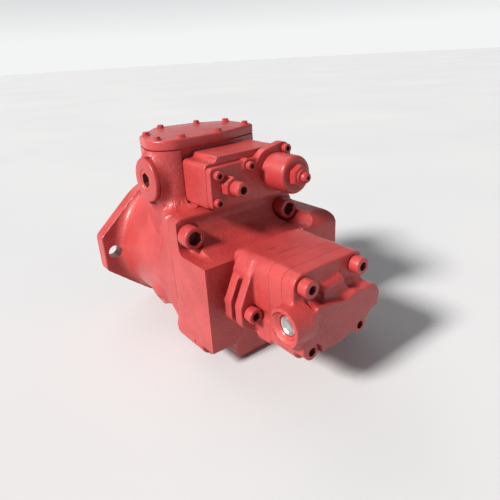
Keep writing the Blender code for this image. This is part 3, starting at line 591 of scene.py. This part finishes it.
def matt(name, colour, rough=0.7):
    """A dull surface with slight patches and a fine grain."""
    material, nodes, links, shader = new_material(name)
    place = nodes.new("ShaderNodeTexCoord").outputs["Object"]
    patches = noise_node(nodes, links, place, 120, 3.0)
    lighter = tuple(min(1.0, value * 1.6 + 0.01) for value in colour)
    links.new(ramp_node(nodes, links, patches, 0.3, 0.7, colour, lighter),
              shader.inputs["Base Color"])
    shader.inputs["Roughness"].default_value = rough
    grain = noise_node(nodes, links, place, 1200, 2.0)
    links.new(bump_node(nodes, links, grain, 0.2, 0.0003), shader.inputs["Normal"])
    return material


CAST_PAINT = paint("red_paint_cast")
SMOOTH_PAINT = paint("red_paint_machined", cast=0.35)
TURNED_PAINT = paint("red_paint_turned", cast=0.25, turned_lines=330)
BRIGHT_STEEL = steel("steel_bright", (0.62, 0.62, 0.63), 0.24)
GROUND_STEEL = steel("steel_ground", (0.5, 0.5, 0.52), 0.32)
BRONZE = steel("bronze_machined", (0.56, 0.36, 0.17), 0.32)
# dark red for the painted shade deep inside sockets
RECESS_SHADE_PAINT = matt("red_paint_recess_shade", (0.10, 0.015, 0.015), 0.5)
RUBBER = matt("rubber_black", (0.02, 0.02, 0.021), 0.6)


# ---------------------------------------------------------------- casing

def make_casing():
    """Barrel, mounting flange, shoulders, servo tower and drain boss, then the machined faces."""
    machined = SEAM_Y - SEAM_STOCK
    shells = [lathe([(0, -4), (BARREL_RADIUS, -4), (BARREL_RADIUS, machined), (0, machined)]),
              prism(flange_outline(), -FLANGE_THICKNESS, SKIN)]
    shells.append(hull_between(hull_outline(corner_circles()), machined,
                               hull_outline([(0, 0, BARREL_RADIUS - 1)]), SEAM_Y + 34))
    for side in (-1, 1):
        x, z = side * CORNER_TOP[0], CORNER_TOP[1]
        shells.append(rod(CORNER_TOP_RADIUS - 0.3, (x, SEAM_Y + 3, z),
                          (x * 0.66, SEAM_Y + 32, z * 1.02), CORNER_TOP_RADIUS * 0.86))
        x, z = side * CORNER_BOTTOM[0], CORNER_BOTTOM[1]
        shells.append(rod(CORNER_BOTTOM_RADIUS, (x, machined, z), (x, SEAM_Y + 22, z)))
        shells.append(rod(CORNER_BOTTOM_RADIUS - 0.3, (x, SEAM_Y + 21, z),
                          (x * 0.8, SEAM_Y + 42, z * 0.8), CORNER_BOTTOM_RADIUS * 0.6))
    shells.append(prism(cover_outline(), 38, TOWER_TOP_Z + SEAM_STOCK, "Z"))
    shells.append(rod(SERVO_SPIGOT_RADIUS, (-40, SERVO_Y, SERVO_Z),
                      (SERVO_SPIGOT_X - SEAM_STOCK, SERVO_Y, SERVO_Z)))
    shells.append(block((-38, machined, 50), (62, REGULATOR_BACK_Y - 4, REGULATOR_BOTTOM_Z - 1.2)))
    shells.append(rod(14, *DRAIN_BOSS))
    casing = casting("casing", shells, fillet=8)
    mill(casing, "Y", 0, 1)
    mill(casing, "Y", SEAM_Y, -1)
    mill(casing, "Z", TOWER_TOP_Z, 1)
    carve(casing, block((-FAR, -FAR, SERVO_Z - 27), (SERVO_SPIGOT_X, FAR, SERVO_Z + 27)))
    carve(casing, block((REGULATOR_LEFT_X - 0.6, SEAM_Y + 1, REGULATOR_BOTTOM_Z - 0.6),
                        (FAR, REGULATOR_BACK_Y + 0.3, FAR)))
    # the barrel's left side runs out flush with the port block's left face
    carve(casing, prism([(BLOCK_LEFT_X, SEAM_Y - 2), (-FAR, SEAM_Y - 2), (-FAR, SEAM_Y + 44),
                         (-BARREL_RADIUS - 0.6, SEAM_Y + 44)], -56, 84, "Z"))
    weld(casing, lathe([(0, PILOT_HEIGHT), (PILOT_RADIUS - 1, PILOT_HEIGHT),
                        (PILOT_RADIUS, PILOT_HEIGHT - 1), (PILOT_RADIUS, -2), (0, -2)]))
    hollow = [(0, PILOT_HEIGHT + 1), (37.0, PILOT_HEIGHT + 1), (36.0, PILOT_HEIGHT - 1), (36.0, 2),
              (33, 2), (33, -2), (40.4, -2), (40.4, -26), (70, -26), (70, SEAM_Y - 1),
              (0, SEAM_Y - 1)]
    carve(casing, lathe(hollow))
    carve(casing, block((-34, -126, 64), (38, -58, 150)))
    carve(casing, rod(10.8, (0, PIVOT_Y, 60), (0, PIVOT_Y, 90)),
          rod(10.5, (0, PIVOT_Y, -60), (0, PIVOT_Y, -83)),
          rod(SERVO_BORE_RADIUS, (-66, SERVO_Y, SERVO_Z), (62, SERVO_Y, SERVO_Z)),
          rod(SERVO_PLUG_BORE_RADIUS, (-90, SERVO_Y, SERVO_Z), (-56, SERVO_Y, SERVO_Z)),
          rod(6.4, (-50, -104, -26), (-90, -104, -42)))
    for side in (-1, 1):
        hole = side * FLANGE_HOLE_X
        carve(casing, rod(FLANGE_HOLE_RADIUS, (hole, 5, 0), (hole, -30, 0)))
        for x, z in (CORNER_TOP, CORNER_BOTTOM):
            carve(casing, rod(8.6, (side * x, SEAM_Y - 5, z), (side * x, SEAM_Y + 22, z)))
    done(casing, "casing", CAST_PAINT, "red_paint", "front_housing")


# ---------------------------------------------------------------- port block

def make_port_block():
    """Block with its suction lobe, delivery shoulder and sloping top, then faces and bores."""
    seam = SEAM_Y - SEAM_GAP
    back = seam + SEAM_STOCK
    shells = [prism(hull_outline(corner_circles()), back, PLATE_FRONT_Y),
              block((BLOCK_LEFT_X - SKIN, BLOCK_FRONT_Y - SKIN, BLOCK_BOTTOM_Z),
                    (BLOCK_RIGHT_X + SKIN, back, BLOCK_TOP_Z))]
    lobe = prism(hull_outline([(-33, BASE_Z + 12, 12), (33, BASE_Z + 12, 12), (-33, -40, 12),
                               (33, -40, 12)]), back, BLOCK_FRONT_Y - SKIN)
    lobe_side = prism(hull_outline([(-213, BASE_Z + 9, 9), (-162, BASE_Z + 7, 7), (-213, -30, 9),
                                    (-154, -30, 7)]), -60, 60, "X")
    shells.append(shape_of("lobe", lobe, ("INTERSECT", lobe_side)))
    shoulder = prism(hull_outline([(74, 36, 20), (97, 43, 14.5), (74, 10, 20), (97, 10, 14.5)]),
                     back, BLOCK_FRONT_Y - SKIN)
    side = prism(hull_outline([(-202, 36, 21), (-160, 47, 10), (-160, 0, 10), (-213, 0, 10)]),
                 50, 115, "X")
    shells.append(shape_of("shoulder", shoulder, ("INTERSECT", side)))
    ramp = [(back, 70), (PLATE_FRONT_Y, 70), (-180, 56), (-190, 47.5), (-203, 42.5),
            (BLOCK_FRONT_Y + 4, 40), (back, 40)]
    shells.append(prism(ramp, -60, 78, "X"))
    item = casting("port_block_skin", shells, fillet=4, rounding=7)
    mill(item, "Y", seam, 1)
    mill(item, "X", BLOCK_LEFT_X, -1)
    mill(item, "X", BLOCK_RIGHT_X, 1)
    mill(item, "Y", BLOCK_FRONT_Y, -1)
    for side in (-1, 1):
        x, z = side * CORNER_TOP[0], CORNER_TOP[1]
        carve(item, rod(15.2, (x, PLATE_FRONT_Y + 0.4, z), (x, BLOCK_FRONT_Y - 5, z)))
        x, z = side * CORNER_BOTTOM[0], CORNER_BOTTOM[1]
        carve(item, rod(13.2, (x, PLATE_FRONT_Y + 0.4, z), (x, PLATE_FRONT_Y - 22, z)))
        for x, z in (CORNER_TOP, CORNER_BOTTOM):
            carve(item, rod(8.8, (side * x, seam + 5, z), (side * x, PLATE_FRONT_Y - 5, z)))
    carve(item, rod(26.4, (0, seam + 5, 0), (0, -172.5, 0)),
          rod(21, (0, -170, 0), (0, BLOCK_FRONT_Y - 5, 0)),
          rod(SUCTION_RADIUS, (0, PORT_Y, BASE_Z - 5), (0, PORT_Y, -26)),
          rod(DELIVERY_RADIUS, (BLOCK_RIGHT_X + 5, PORT_Y, DELIVERY_Z), (34, PORT_Y, DELIVERY_Z)))
    carve(item, prism(arc_slot(37, 5.5, 215, 325), seam + 5, -186),
          prism(arc_slot(37, 4.5, 35, 145), seam + 5, -167))
    for first in (-1, 1):
        for second in (-1, 1):
            x, y = first * SUCTION_BOLTS[0], PORT_Y + second * SUCTION_BOLTS[1]
            carve(item, rod(5.3, (x, y, BASE_Z - 5), (x, y, BASE_Z + 20)))
            y, z = PORT_Y + first * DELIVERY_BOLTS[0], DELIVERY_Z + second * DELIVERY_BOLTS[1]
            carve(item, rod(4.3, (BLOCK_RIGHT_X + 5, y, z), (BLOCK_RIGHT_X - 18, y, z)))
        x = first * GEAR_FLANGE_BOLT_X
        carve(item, rod(5.3, (x, BLOCK_FRONT_Y - 5, 0), (x, BLOCK_FRONT_Y + 22, 0)))
    done(item, "casing", CAST_PAINT, "red_paint", "port_block")


# ---------------------------------------------------------------- servo cover and regulator

def make_cover():
    """Flat cover with a rounded rim."""
    low = TOWER_TOP_Z + SEAM_GAP
    item = new_object("servo_cover", prism(cover_outline(), low, COVER_TOP_Z, "Z"))
    bevel = item.modifiers.new("rim", "BEVEL")
    bevel.width = 2.2 * MM
    bevel.segments = 4
    bevel.limit_method = "ANGLE"
    bevel.angle_limit = math.radians(50)
    settle(item)
    done(item, "casing", SMOOTH_PAINT, "red_paint", "top_cover")


def make_regulator():
    """The regulator's casting with a raised pad on top, and its front plate with two lugs."""
    left, right = REGULATOR_LEFT_X, REGULATOR_RIGHT_X
    bottom, top = REGULATOR_BOTTOM_Z, REGULATOR_TOP_Z
    back, front = REGULATOR_BACK_Y, REGULATOR_FRONT_Y
    outline = hull_outline([(left + 4, bottom + 4, 4), (left + 5, top - 5, 5),
                            (right - 14, top - 14, 14), (right - 10, bottom + 10, 10)])
    pad = hull_outline([(-24, 120, 3), (-24, 134.5, 3), (52, 130, 8), (52, 120, 4)])
    shells = [prism(outline, back + SKIN, front), prism(pad, back + SKIN, front + 0.4)]
    item = casting("regulator_casting", shells, fillet=2, rounding=5, voxel=0.9, waviness=0.08)
    mill(item, "Y", back, 1)
    carve(item, rod(5.8, (FLOW_X, back + 5, FLOW_Z), (FLOW_X, front - 5, FLOW_Z)),
          rod(9, (CAP_X, back + 5, CAP_Z), (CAP_X, front - 5, CAP_Z)))
    done(item, "casing", CAST_PAINT, "red_paint", "regulator_body")

    seat, raised = front - SEAM_GAP, REGULATOR_PLATE_Y - REGULATOR_LUG_RISE
    plate = prism(hull_outline([(-38, 90, 4), (-37.5, 124.5, 4.5), (56, 121, 10), (54, 94, 10)]),
                  seat, REGULATOR_PLATE_Y)
    step = prism(hull_outline([(36, 118, 20), (54, 130, 12), (44, 111, 21)]), seat, raised)
    lug = prism(hull_outline([(6.6, 124.3, 7.5), (14, 116, 7.5)]), seat, raised)
    item = casting("regulator_plate", [plate, step, lug], fillet=2, rounding=8, voxel=0.7,
                   waviness=0.05)
    carve(item, rod(5.4, (FLOW_X, -170, FLOW_Z), (FLOW_X, -200, FLOW_Z)),
          rod(13, (CAP_X, -170, CAP_Z), (CAP_X, -200, CAP_Z)))
    done(item, "casing", SMOOTH_PAINT, "red_paint", "regulator_front_plate")


def make_spring_cap():
    """Turned cap with a neck at its foot, a rounded nose and a groove round its face."""
    end, foot = CAP_END_Y, -193
    profile = [(19.6, foot), (19.6, -196.5), (20.5, -197.2), (20.5, end + 4)]
    for step in range(1, 7):
        angle = math.radians(15 * step)
        profile.append((17.5 + 3 * math.cos(angle), end + 4 - 4 * math.sin(angle)))
    profile += [(15.2, end), (14.6, end + 0.5), (13.4, end + 0.5), (12.8, end), (6.4, end),
                (6.4, end + 5.5), (12, end + 5.5), (12, foot)]
    item = new_object("regulator_cap", lathe(profile, (CAP_X, 0, CAP_Z), ring=True))
    done(item, "casing", TURNED_PAINT, "red_paint", "spring_cap")


# ---------------------------------------------------------------- gear pump

def make_gear_front():
    """Front section with two thin flange ribs, their web and the shallow grooves on top."""
    front = BLOCK_FRONT_Y - SEAM_GAP
    ears = [(side * 54.5, z, 9.5) for side in (-1, 1) for z in (6, -8)]
    flange = hull_outline(gear_body_circles() + ears)
    web = hull_outline([(side * x, z, radius) for side in (-1, 1)
                        for x, z, radius in ((34.5, 44, GEAR_CORNER_RADIUS), (42, 36, 9),
                                             (30, 36, 9))])
    shells = [prism(hull_outline(gear_body_circles(8)), front + SKIN, -235),
              prism(hull_outline(gear_body_circles()), -232, GEAR_SEAM_Y - SKIN),
              prism(flange, -232, -243), prism(flange, -249.5, GEAR_FLANGE_SEAT_Y),
              prism(web, -232, -256)]
    for side in (-1, 1):
        shells.append(rod(4.5, (side * 43, -262, -27), (side * 41, -279, -27.5)))
    item = casting("gear_pump_flange", shells, fillet=1.4, rounding=5, voxel=0.9)
    mill(item, "Y", front, 1)
    mill(item, "Y", GEAR_SEAM_Y, -1)
    for side in (-1, 1):
        x = side * GEAR_FLANGE_BOLT_X
        carve(item, rod(9.6, (x, GEAR_FLANGE_SEAT_Y + 0.4, 0), (x, -290, 0)))
        carve(item, rod(5.6, (x, -215, 0), (x, -265, 0)))
    carve(item, rod(20, (0, -215, 0), (0, -235, 0)), rod(8.5, (0, -230, 0), (0, -290, 0)),
          rod(8.5, (0, -264, GEAR_CENTRES), (0, -290, GEAR_CENTRES)))
    height = GEAR_BOLT_TOP_Z + GEAR_CORNER_RADIUS + 0.9
    for y, start, end in GEAR_GROOVES:
        middle = (start + end) / 2
        carve(item, rod(1.0, (start, y + 1.5, height), (middle, y, height), 2.9),
              rod(2.9, (middle - 0.1, y, height), (end, y - 1.5, height), 1.0))
    done(item, "casing", CAST_PAINT, "red_paint", "gp_front_section")


def make_gear_body():
    """The middle section, with the two bores that the gears run in."""
    start, end = GEAR_SEAM_Y - SEAM_GAP, GEAR_BODY_END_Y
    shell = prism(hull_outline(gear_body_circles()), start + SKIN, end - SKIN)
    item = casting("gear_pump_body", [shell], fillet=0, rounding=3, voxel=0.9, waviness=0.06)
    mill(item, "Y", start, 1)
    mill(item, "Y", end, -1)
    for height in (0, GEAR_CENTRES):
        carve(item, rod(14.6, (0, -270, height), (0, -310, height)))
    for side in (-1, 1):
        for z in (GEAR_BOLT_TOP_Z, GEAR_BOLT_BOTTOM_Z):
            carve(item, rod(5.6, (side * GEAR_BOLT_X, -270, z), (side * GEAR_BOLT_X, -310, z)))
    x, y, z = GEAR_PORT
    carve(item, rod(19.5, (-33.6, y, z), (-70, y, z)))
    done(item, "casing", SMOOTH_PAINT, "red_paint", "gp_body")


def make_gear_cover():
    """Rear cover with a raised, irregular face, a hump above it and the round side port."""
    start, seat, face = GEAR_BODY_END_Y - SEAM_GAP, GEAR_COVER_SEAT_Y, GEAR_COVER_FACE_Y
    raised = [(-47.5, 16.6), (-36.6, 18), (-29.2, 26), (-12.7, 24.4), (6, 20), (22.8, 24), (36, 21),
              (57, 11.5), (55, -4), (46, -5), (36, -17), (15, -19.5), (1, -24), (-15, -23),
              (-36, -24), (-47.7, -18)]
    x, y, z = GEAR_PORT
    shells = [prism(hull_outline(gear_body_circles()), start + SKIN, seat),
              prism(raised, start - 1, face),
              rod(19, (-34, y, z), (x, y, z)),
              rod(8.0, (-14, seat + 1, 31.5), (13, seat + 1, 35)),
              prism(hull_outline([(-10, 20, 8), (12, 22, 8)]), start - 1, seat - 7),
              prism(hull_outline([(44, 9, 13), (20, 9, 13)]), start - 3, face + 1)]
    item = casting("gear_pump_cover", shells, fillet=2.5, rounding=5, voxel=0.9)
    mill(item, "Y", start, 1)
    for side in (-1, 1):
        for height in (GEAR_BOLT_TOP_Z, GEAR_BOLT_BOTTOM_Z):
            bolt = side * GEAR_BOLT_X
            carve(item, rod(9.6, (bolt, seat + 0.4, height), (bolt, seat - 40, height)))
            carve(item, rod(5.6, (bolt, -290, height), (bolt, -330, height)))
    carve(item, rod(8.5, (0, -290, 0), (0, -318, 0)),
          rod(8.5, (0, -290, GEAR_CENTRES), (0, -318, GEAR_CENTRES)))
    carve(item, rod(13.2, (x - 5, y, z), (-36, y, z)))
    carve(item, rod(16.6, (x - 5, y, z), (x + 0.8, y, z), 15.6),
          rod(15.6, (x + 0.7, y, z), (x + 4.5, y, z), 13.0))
    done(item, "casing", CAST_PAINT, "red_paint", "gp_rear_cover")


# ---------------------------------------------------------------- screws, plugs and adjusters

def make_screw(name, node, head_radius, head_height, seat, key, shank=4.0, shank_length=8.0):
    """A hexagon socket screw with a rounded rim; the seat is the middle of its head's underside."""
    x, y, z = seat
    rim_height = head_radius * 0.13
    rim_width = rim_height * 1.6
    flat = head_radius - rim_width
    body = [(0, -head_height), (flat, -head_height)]
    for step in range(1, 6):
        angle = math.radians(18 * step)
        body.append((flat + rim_width * math.sin(angle),
                     -head_height + rim_height * (1 - math.cos(angle))))
    body += [(head_radius, -0.5), (head_radius - 0.5, 0), (shank, 0), (shank, shank_length),
             (0, shank_length)]
    item = new_object(name, lathe(body, seat, steps=72))
    top = y - head_height
    carve(item, hexagon(key, (x, top - 2, z), (x, top + head_height * 0.7, z)),
          rod(key * 0.62, (x, top - 1, z), (x, top + key * 0.1, z), key * 0.5))
    names = [node] if node else []
    done(item, "casing", SMOOTH_PAINT, "red_paint", *names,
         recess=((x, top, z), -AXIS["Y"], key * 0.6, key * 0.12))


def make_screws():
    """Main, gear pump and regulator plate screws: radius, height, seat, key, shank and its length."""
    seat = PLATE_FRONT_Y - SEAM_GAP
    for level, corner in (("upper", CORNER_TOP), ("lower", CORNER_BOTTOM)):
        for side_name, side in (("left", -1), ("right", 1)):
            make_screw(f"screw_main_{level}_{side_name}", f"main_bolt_{level}_{side_name}",
                       12, 16, (side * corner[0], seat, corner[1]), 14, 8, 40)
    for side_name, side in (("left", -1), ("right", 1)):
        make_screw(f"screw_pump_{side_name}", f"gp_mount_bolt_{side_name}", 8, 10,
                   (side * GEAR_FLANGE_BOLT_X, GEAR_FLANGE_SEAT_Y - SEAM_GAP, 0), 8, 5, 50)
        for level, z in (("upper", GEAR_BOLT_TOP_Z), ("lower", GEAR_BOLT_BOTTOM_Z)):
            make_screw(f"screw_cover_{level}_{side_name}", f"gp_cover_bolt_{level}_{side_name}",
                       8.6, 11, (side * GEAR_BOLT_X, GEAR_COVER_SEAT_Y - SEAM_GAP, z), 8, 5, 28)
    for number, (x, z, rise) in enumerate(PLATE_SCREWS, 1):
        make_screw(f"screw_plate_{number}", None, 5, 6, (x, REGULATOR_PLATE_Y - rise, z), 5, 3, 5)


def make_cover_screws():
    """Small hexagon-headed screws on the servo cover, each with its washer face."""
    for number, (x, y) in enumerate(COVER_SCREWS, 1):
        z = COVER_TOP_Z
        head = hexagon(7, (x, y, z + 0.6), (x, y, z + 3.8), rim=0.5, turn_deg=17 * number)
        collar = lathe([(0, 1.0), (4.6, 1.0), (5.0, 0.6), (5.0, -0.5), (0, -0.5)], (x, y, z),
                       AXIS["Z"], 48)
        item = new_object(f"screw_servo_cover_{number}", head)
        weld(item, collar)
        done(item, "casing", SMOOTH_PAINT, "red_paint")


def make_servo_plug():
    """Wide plug with a hexagon socket in the end of the servo's bore."""
    y, z = SERVO_Y, SERVO_Z
    seat = SERVO_SPIGOT_X - SEAM_GAP
    face = seat - 4.5
    profile = [(0, -56.5), (20, -56.5), (20, seat), (24.1, seat), (24.6, seat - 0.5),
               (24.6, seat - 3.4)]
    for step in range(1, 6):
        angle = math.radians(18 * step)
        profile.append((22.8 + 1.8 * math.cos(angle), seat - 3.4 - 1.8 * math.sin(angle)))
    profile += [(12.6, seat - 5.2), (11.8, face), (0, face)]
    item = new_object("servo_bore_plug", lathe(profile, (0, y, z), AXIS["X"]))
    carve(item, hexagon(15, (-64, y, z), (-90, y, z)))
    done(item, "casing", SMOOTH_PAINT, "red_paint", "servo_plug",
         recess=((face, y, z), -AXIS["X"], 9, 0.6))


def make_drain_plug():
    """Small plug with a hexagon socket in the middle of the drain boss."""
    start, end = Vector((-58, -104, -29.2)), Vector((-76.8, -104, -36.72))
    axis = (end - start).normalized()
    item = new_object("casing_drain_plug", rod(6, start, end))
    carve(item, hexagon(6, end - axis * 5, end + axis * 4))
    done(item, "casing", SMOOTH_PAINT, "red_paint", "drain_plug")


def make_gear_port():
    """Painted ring and a bright dished plug in the mouth of the gear pump's side port."""
    origin = (0, GEAR_PORT[1], GEAR_PORT[2])
    ring = [(10.2, -42), (13.0, -42), (13.0, -53.6), (12.2, -54.2), (11.0, -53.6), (10.2, -52.4)]
    item = new_object("gear_port_ring", lathe(ring, origin, AXIS["X"], ring=True))
    done(item, "casing", SMOOTH_PAINT, "red_paint")
    dish = [(0, -42), (9.9, -42), (9.9, -51.2), (9.3, -51.8), (8.4, -51.2), (7.6, -50.4),
            (6.2, -50.9), (4.4, -50.5), (2.4, -49.6), (0, -49.3)]
    item = new_object("gear_port_insert", lathe(dish, origin, AXIS["X"]))
    done(item, "casing", BRIGHT_STEEL, "steel", "gp_port_plug")


def threaded(radius, start, end, pitch=1.6, depth=0.55):
    """Profile points of a thread drawn as rings, from a height down to a lower one."""
    count = int((start - end) / pitch)
    points = []
    for turn in range(count):
        base = start - turn * pitch
        points += [(radius - depth, base - 0.05), (radius, base - pitch / 2)]
    points.append((radius - depth, start - count * pitch))
    return points


def make_power_adjuster():
    """Screw in the spring cap's nose: collar, short thread and rounded tip, with its lock nut."""
    y = CAP_END_Y
    profile = [(0, 22), (10, 22), (10, 7), (6, 7), (6, -8.4), (7.9, -8.9), (8.3, -9.4),
               (8.3, -10.9), (7.6, -11.5)]
    profile += threaded(6, -11.5, -14.8)
    profile += [(5.4, -15.6), (4.6, -16.7), (3.2, -17.5), (0, -17.5)]
    item = new_object("power_screw_turned", lathe(profile, (CAP_X, y, CAP_Z)))
    carve(item, hexagon(4, (CAP_X, y - 14, CAP_Z), (CAP_X, y - 25, CAP_Z)))
    done(item, "power_screw", SMOOTH_PAINT, "red_paint", "power_adjusting_screw")

    nut = hexagon(21, (CAP_X, y - 0.4, CAP_Z), (CAP_X, y - 8.5, CAP_Z), rim=1.6)
    item = new_object("power_nut", nut)
    carve(item, rod(6.4, (CAP_X, y + 5, CAP_Z), (CAP_X, y - 15, CAP_Z)))
    done(item, "casing", SMOOTH_PAINT, "red_paint", "power_lock_nut")


def make_flow_adjuster():
    """Socket-headed screw through the regulator's plate, with its lock nut."""
    nut = hexagon(19, (FLOW_X, -191.4, FLOW_Z), (FLOW_X, -202, FLOW_Z), rim=1.3)
    item = new_object("flow_nut", nut)
    carve(item, rod(5.4, (FLOW_X, -185, FLOW_Z), (FLOW_X, -210, FLOW_Z)))
    done(item, "casing", SMOOTH_PAINT, "red_paint", "flow_lock_nut")

    profile = [(0, -178), (5, -178), (5, -203.2), (7.6, -203.2), (8, -203.8), (8, -215.6),
               (7.2, -216.7), (6.4, -217), (0, -217)]
    item = new_object("flow_screw_turned", lathe(profile, (FLOW_X, 0, FLOW_Z)))
    carve(item, hexagon(8, (FLOW_X, -209, FLOW_Z), (FLOW_X, -222, FLOW_Z)))
    done(item, "flow_screw", SMOOTH_PAINT, "red_paint", "flow_adjusting_screw",
         recess=((FLOW_X, -217, FLOW_Z), -AXIS["Y"], 5, 0.8))


# ---------------------------------------------------------------- shaft and seal

def make_shaft():
    """Stepped shaft with a 14-tooth spline and a centre hole."""
    profile = [(0, 56), (12.4, 56), (14.2, 54.8), (15.6, 52.8), (15.6, 17), (16.2, 15.4), (19.7, 14),
               (19.7, -30), (18, -32), (18, -155), (14.7, -156), (14.7, -175), (11.9, -176),
               (11.9, -203), (0, -203)]
    item = new_object("shaft_turned", lathe(profile))
    gaps = []
    for tooth in range(14):
        angle = 2 * math.pi * tooth / 14
        across = Vector((math.cos(angle), 0, math.sin(angle)))
        side = Vector((-math.sin(angle), 0, math.cos(angle)))
        outline = [side * a + across * r
                   for a, r in ((1.25, 13.9), (1.9, 17.5), (-1.9, 17.5), (-1.25, 13.9))]
        gaps.append(loft(*([point + AXIS["Y"] * height for point in outline]
                           for height in (60, 19))))
    carve(item, *gaps)
    carve(item, rod(4.2, (0, 60, 0), (0, 36, 0)), rod(6.2, (0, 57, 0), (0, 53.5, 0), 4.0))
    done(item, "rotor", BRIGHT_STEEL, "steel", "drive_shaft")


def make_shaft_seal():
    """Rubber lip seal in the pilot's mouth."""
    lip = [(35.6, 9.6), (35.2, 10), (32.5, 10), (31.5, 8.6), (27, 8.2), (24, 9.4), (20.6, 9.8),
           (20.3, 9.2), (21.4, 6.8), (24, 5.6), (24, 2.4), (35.6, 2.4)]
    item = new_object("seal_turned", lathe(lip, ring=True))
    done(item, "casing", RUBBER, "rubber", "shaft_seal")


# ---------------------------------------------------------------- pieces that stay as they are

def dress_inner_parts():
    """Bronze or ground steel on the CAD's own pieces inside the castings."""
    bronze = ["valve_plate", "gp_bushing_front", "gp_bushing_rear"]
    for name, item in frame["nodes"].items():
        if name in bronze or name.startswith("slipper_"):
            material = BRONZE
        else:
            material = GROUND_STEEL
        for index in range(len(item.material_slots)):
            item.material_slots[index].link = "OBJECT"
            item.material_slots[index].material = material


# ---------------------------------------------------------------- studio

def make_floor():
    """A wide pale disc just under the pump."""
    work = bmesh.new()
    bmesh.ops.create_circle(work, cap_ends=True, segments=64, radius=14.0)
    mesh = bpy.data.meshes.new("floor")
    work.to_mesh(mesh)
    work.free()
    floor = new_object("floor", mesh)
    floor.location = (0, 0, -0.0004)
    material, nodes, links, shader = new_material("floor_pale")
    place = nodes.new("ShaderNodeTexCoord").outputs["Object"]
    cloud = noise_node(nodes, links, place, 1.5, 2.0)
    links.new(ramp_node(nodes, links, cloud, 0.3, 0.7, (0.52, 0.525, 0.535), (0.55, 0.555, 0.56)),
              shader.inputs["Base Color"])
    shader.inputs["Roughness"].default_value = 0.9
    floor.data.materials.append(material)


def make_lights():
    """A soft key light from the left and a weak light from behind."""
    for name, direction, strength, spread in (("key", KEY_DIRECTION, 6.0, 12),
                                              ("rim", RIM_DIRECTION, 0.5, 40)):
        light = bpy.data.lights.new(name, "SUN")
        light.energy = strength
        light.angle = math.radians(spread)
        light.color = (1.0, 0.975, 0.95)
        item = bpy.data.objects.new(name, light)
        bpy.context.scene.collection.objects.link(item)
        item.location = ORIGIN + Vector(direction) * 2
        item.rotation_euler = Vector(direction).to_track_quat("Z", "Y").to_euler()


def make_world():
    """An even studio: pale walls near the floor, dimmer overhead."""
    world = bpy.data.worlds.new("studio")
    world.use_nodes = True
    nodes, links = world.node_tree.nodes, world.node_tree.links
    place = nodes.new("ShaderNodeTexCoord").outputs["Generated"]
    parts = nodes.new("ShaderNodeSeparateXYZ")
    links.new(place, parts.inputs["Vector"])
    sky = ramp_node(nodes, links, parts.outputs["Z"], 0.03, 0.3, (0.90, 0.905, 0.91),
                    (0.24, 0.245, 0.255))
    background = nodes["Background"]
    links.new(sky, background.inputs["Color"])
    background.inputs["Strength"].default_value = 1.0
    bpy.context.scene.world = world


def make_camera():
    """The camera of the main view, slightly rolled."""
    azimuth = math.radians(CAMERA_AZIMUTH)
    elevation = math.radians(CAMERA_ELEVATION)
    back = Vector((math.sin(azimuth) * math.cos(elevation), -math.cos(azimuth) * math.cos(elevation),
                   math.sin(elevation)))
    level = (-back).cross(Vector((0, 0, 1))).normalized()
    above = level.cross(-back)
    roll = math.radians(CAMERA_ROLL)
    right = level * math.cos(roll) + above * math.sin(roll)
    up = above * math.cos(roll) - level * math.sin(roll)
    data = bpy.data.cameras.new("camera")
    data.sensor_width = 36
    data.lens = CAMERA_LENS
    data.clip_start = 0.01
    camera = bpy.data.objects.new("camera", data)
    bpy.context.scene.collection.objects.link(camera)
    placed = Matrix((right, up, back)).transposed().to_4x4()
    placed.translation = TO_ROW @ CAMERA_POSITION
    camera.matrix_world = placed
    bpy.context.scene.camera = camera


bpy.context.scene.view_settings.view_transform = "Standard"
make_camera()
make_floor()
make_world()
make_lights()
dress_inner_parts()
make_casing()
make_port_block()
make_cover()
make_regulator()
make_spring_cap()
make_gear_front()
make_gear_body()
make_gear_cover()
make_screws()
make_cover_screws()
make_servo_plug()
make_drain_plug()
make_gear_port()
make_power_adjuster()
make_flow_adjuster()
make_shaft()
make_shaft_seal()
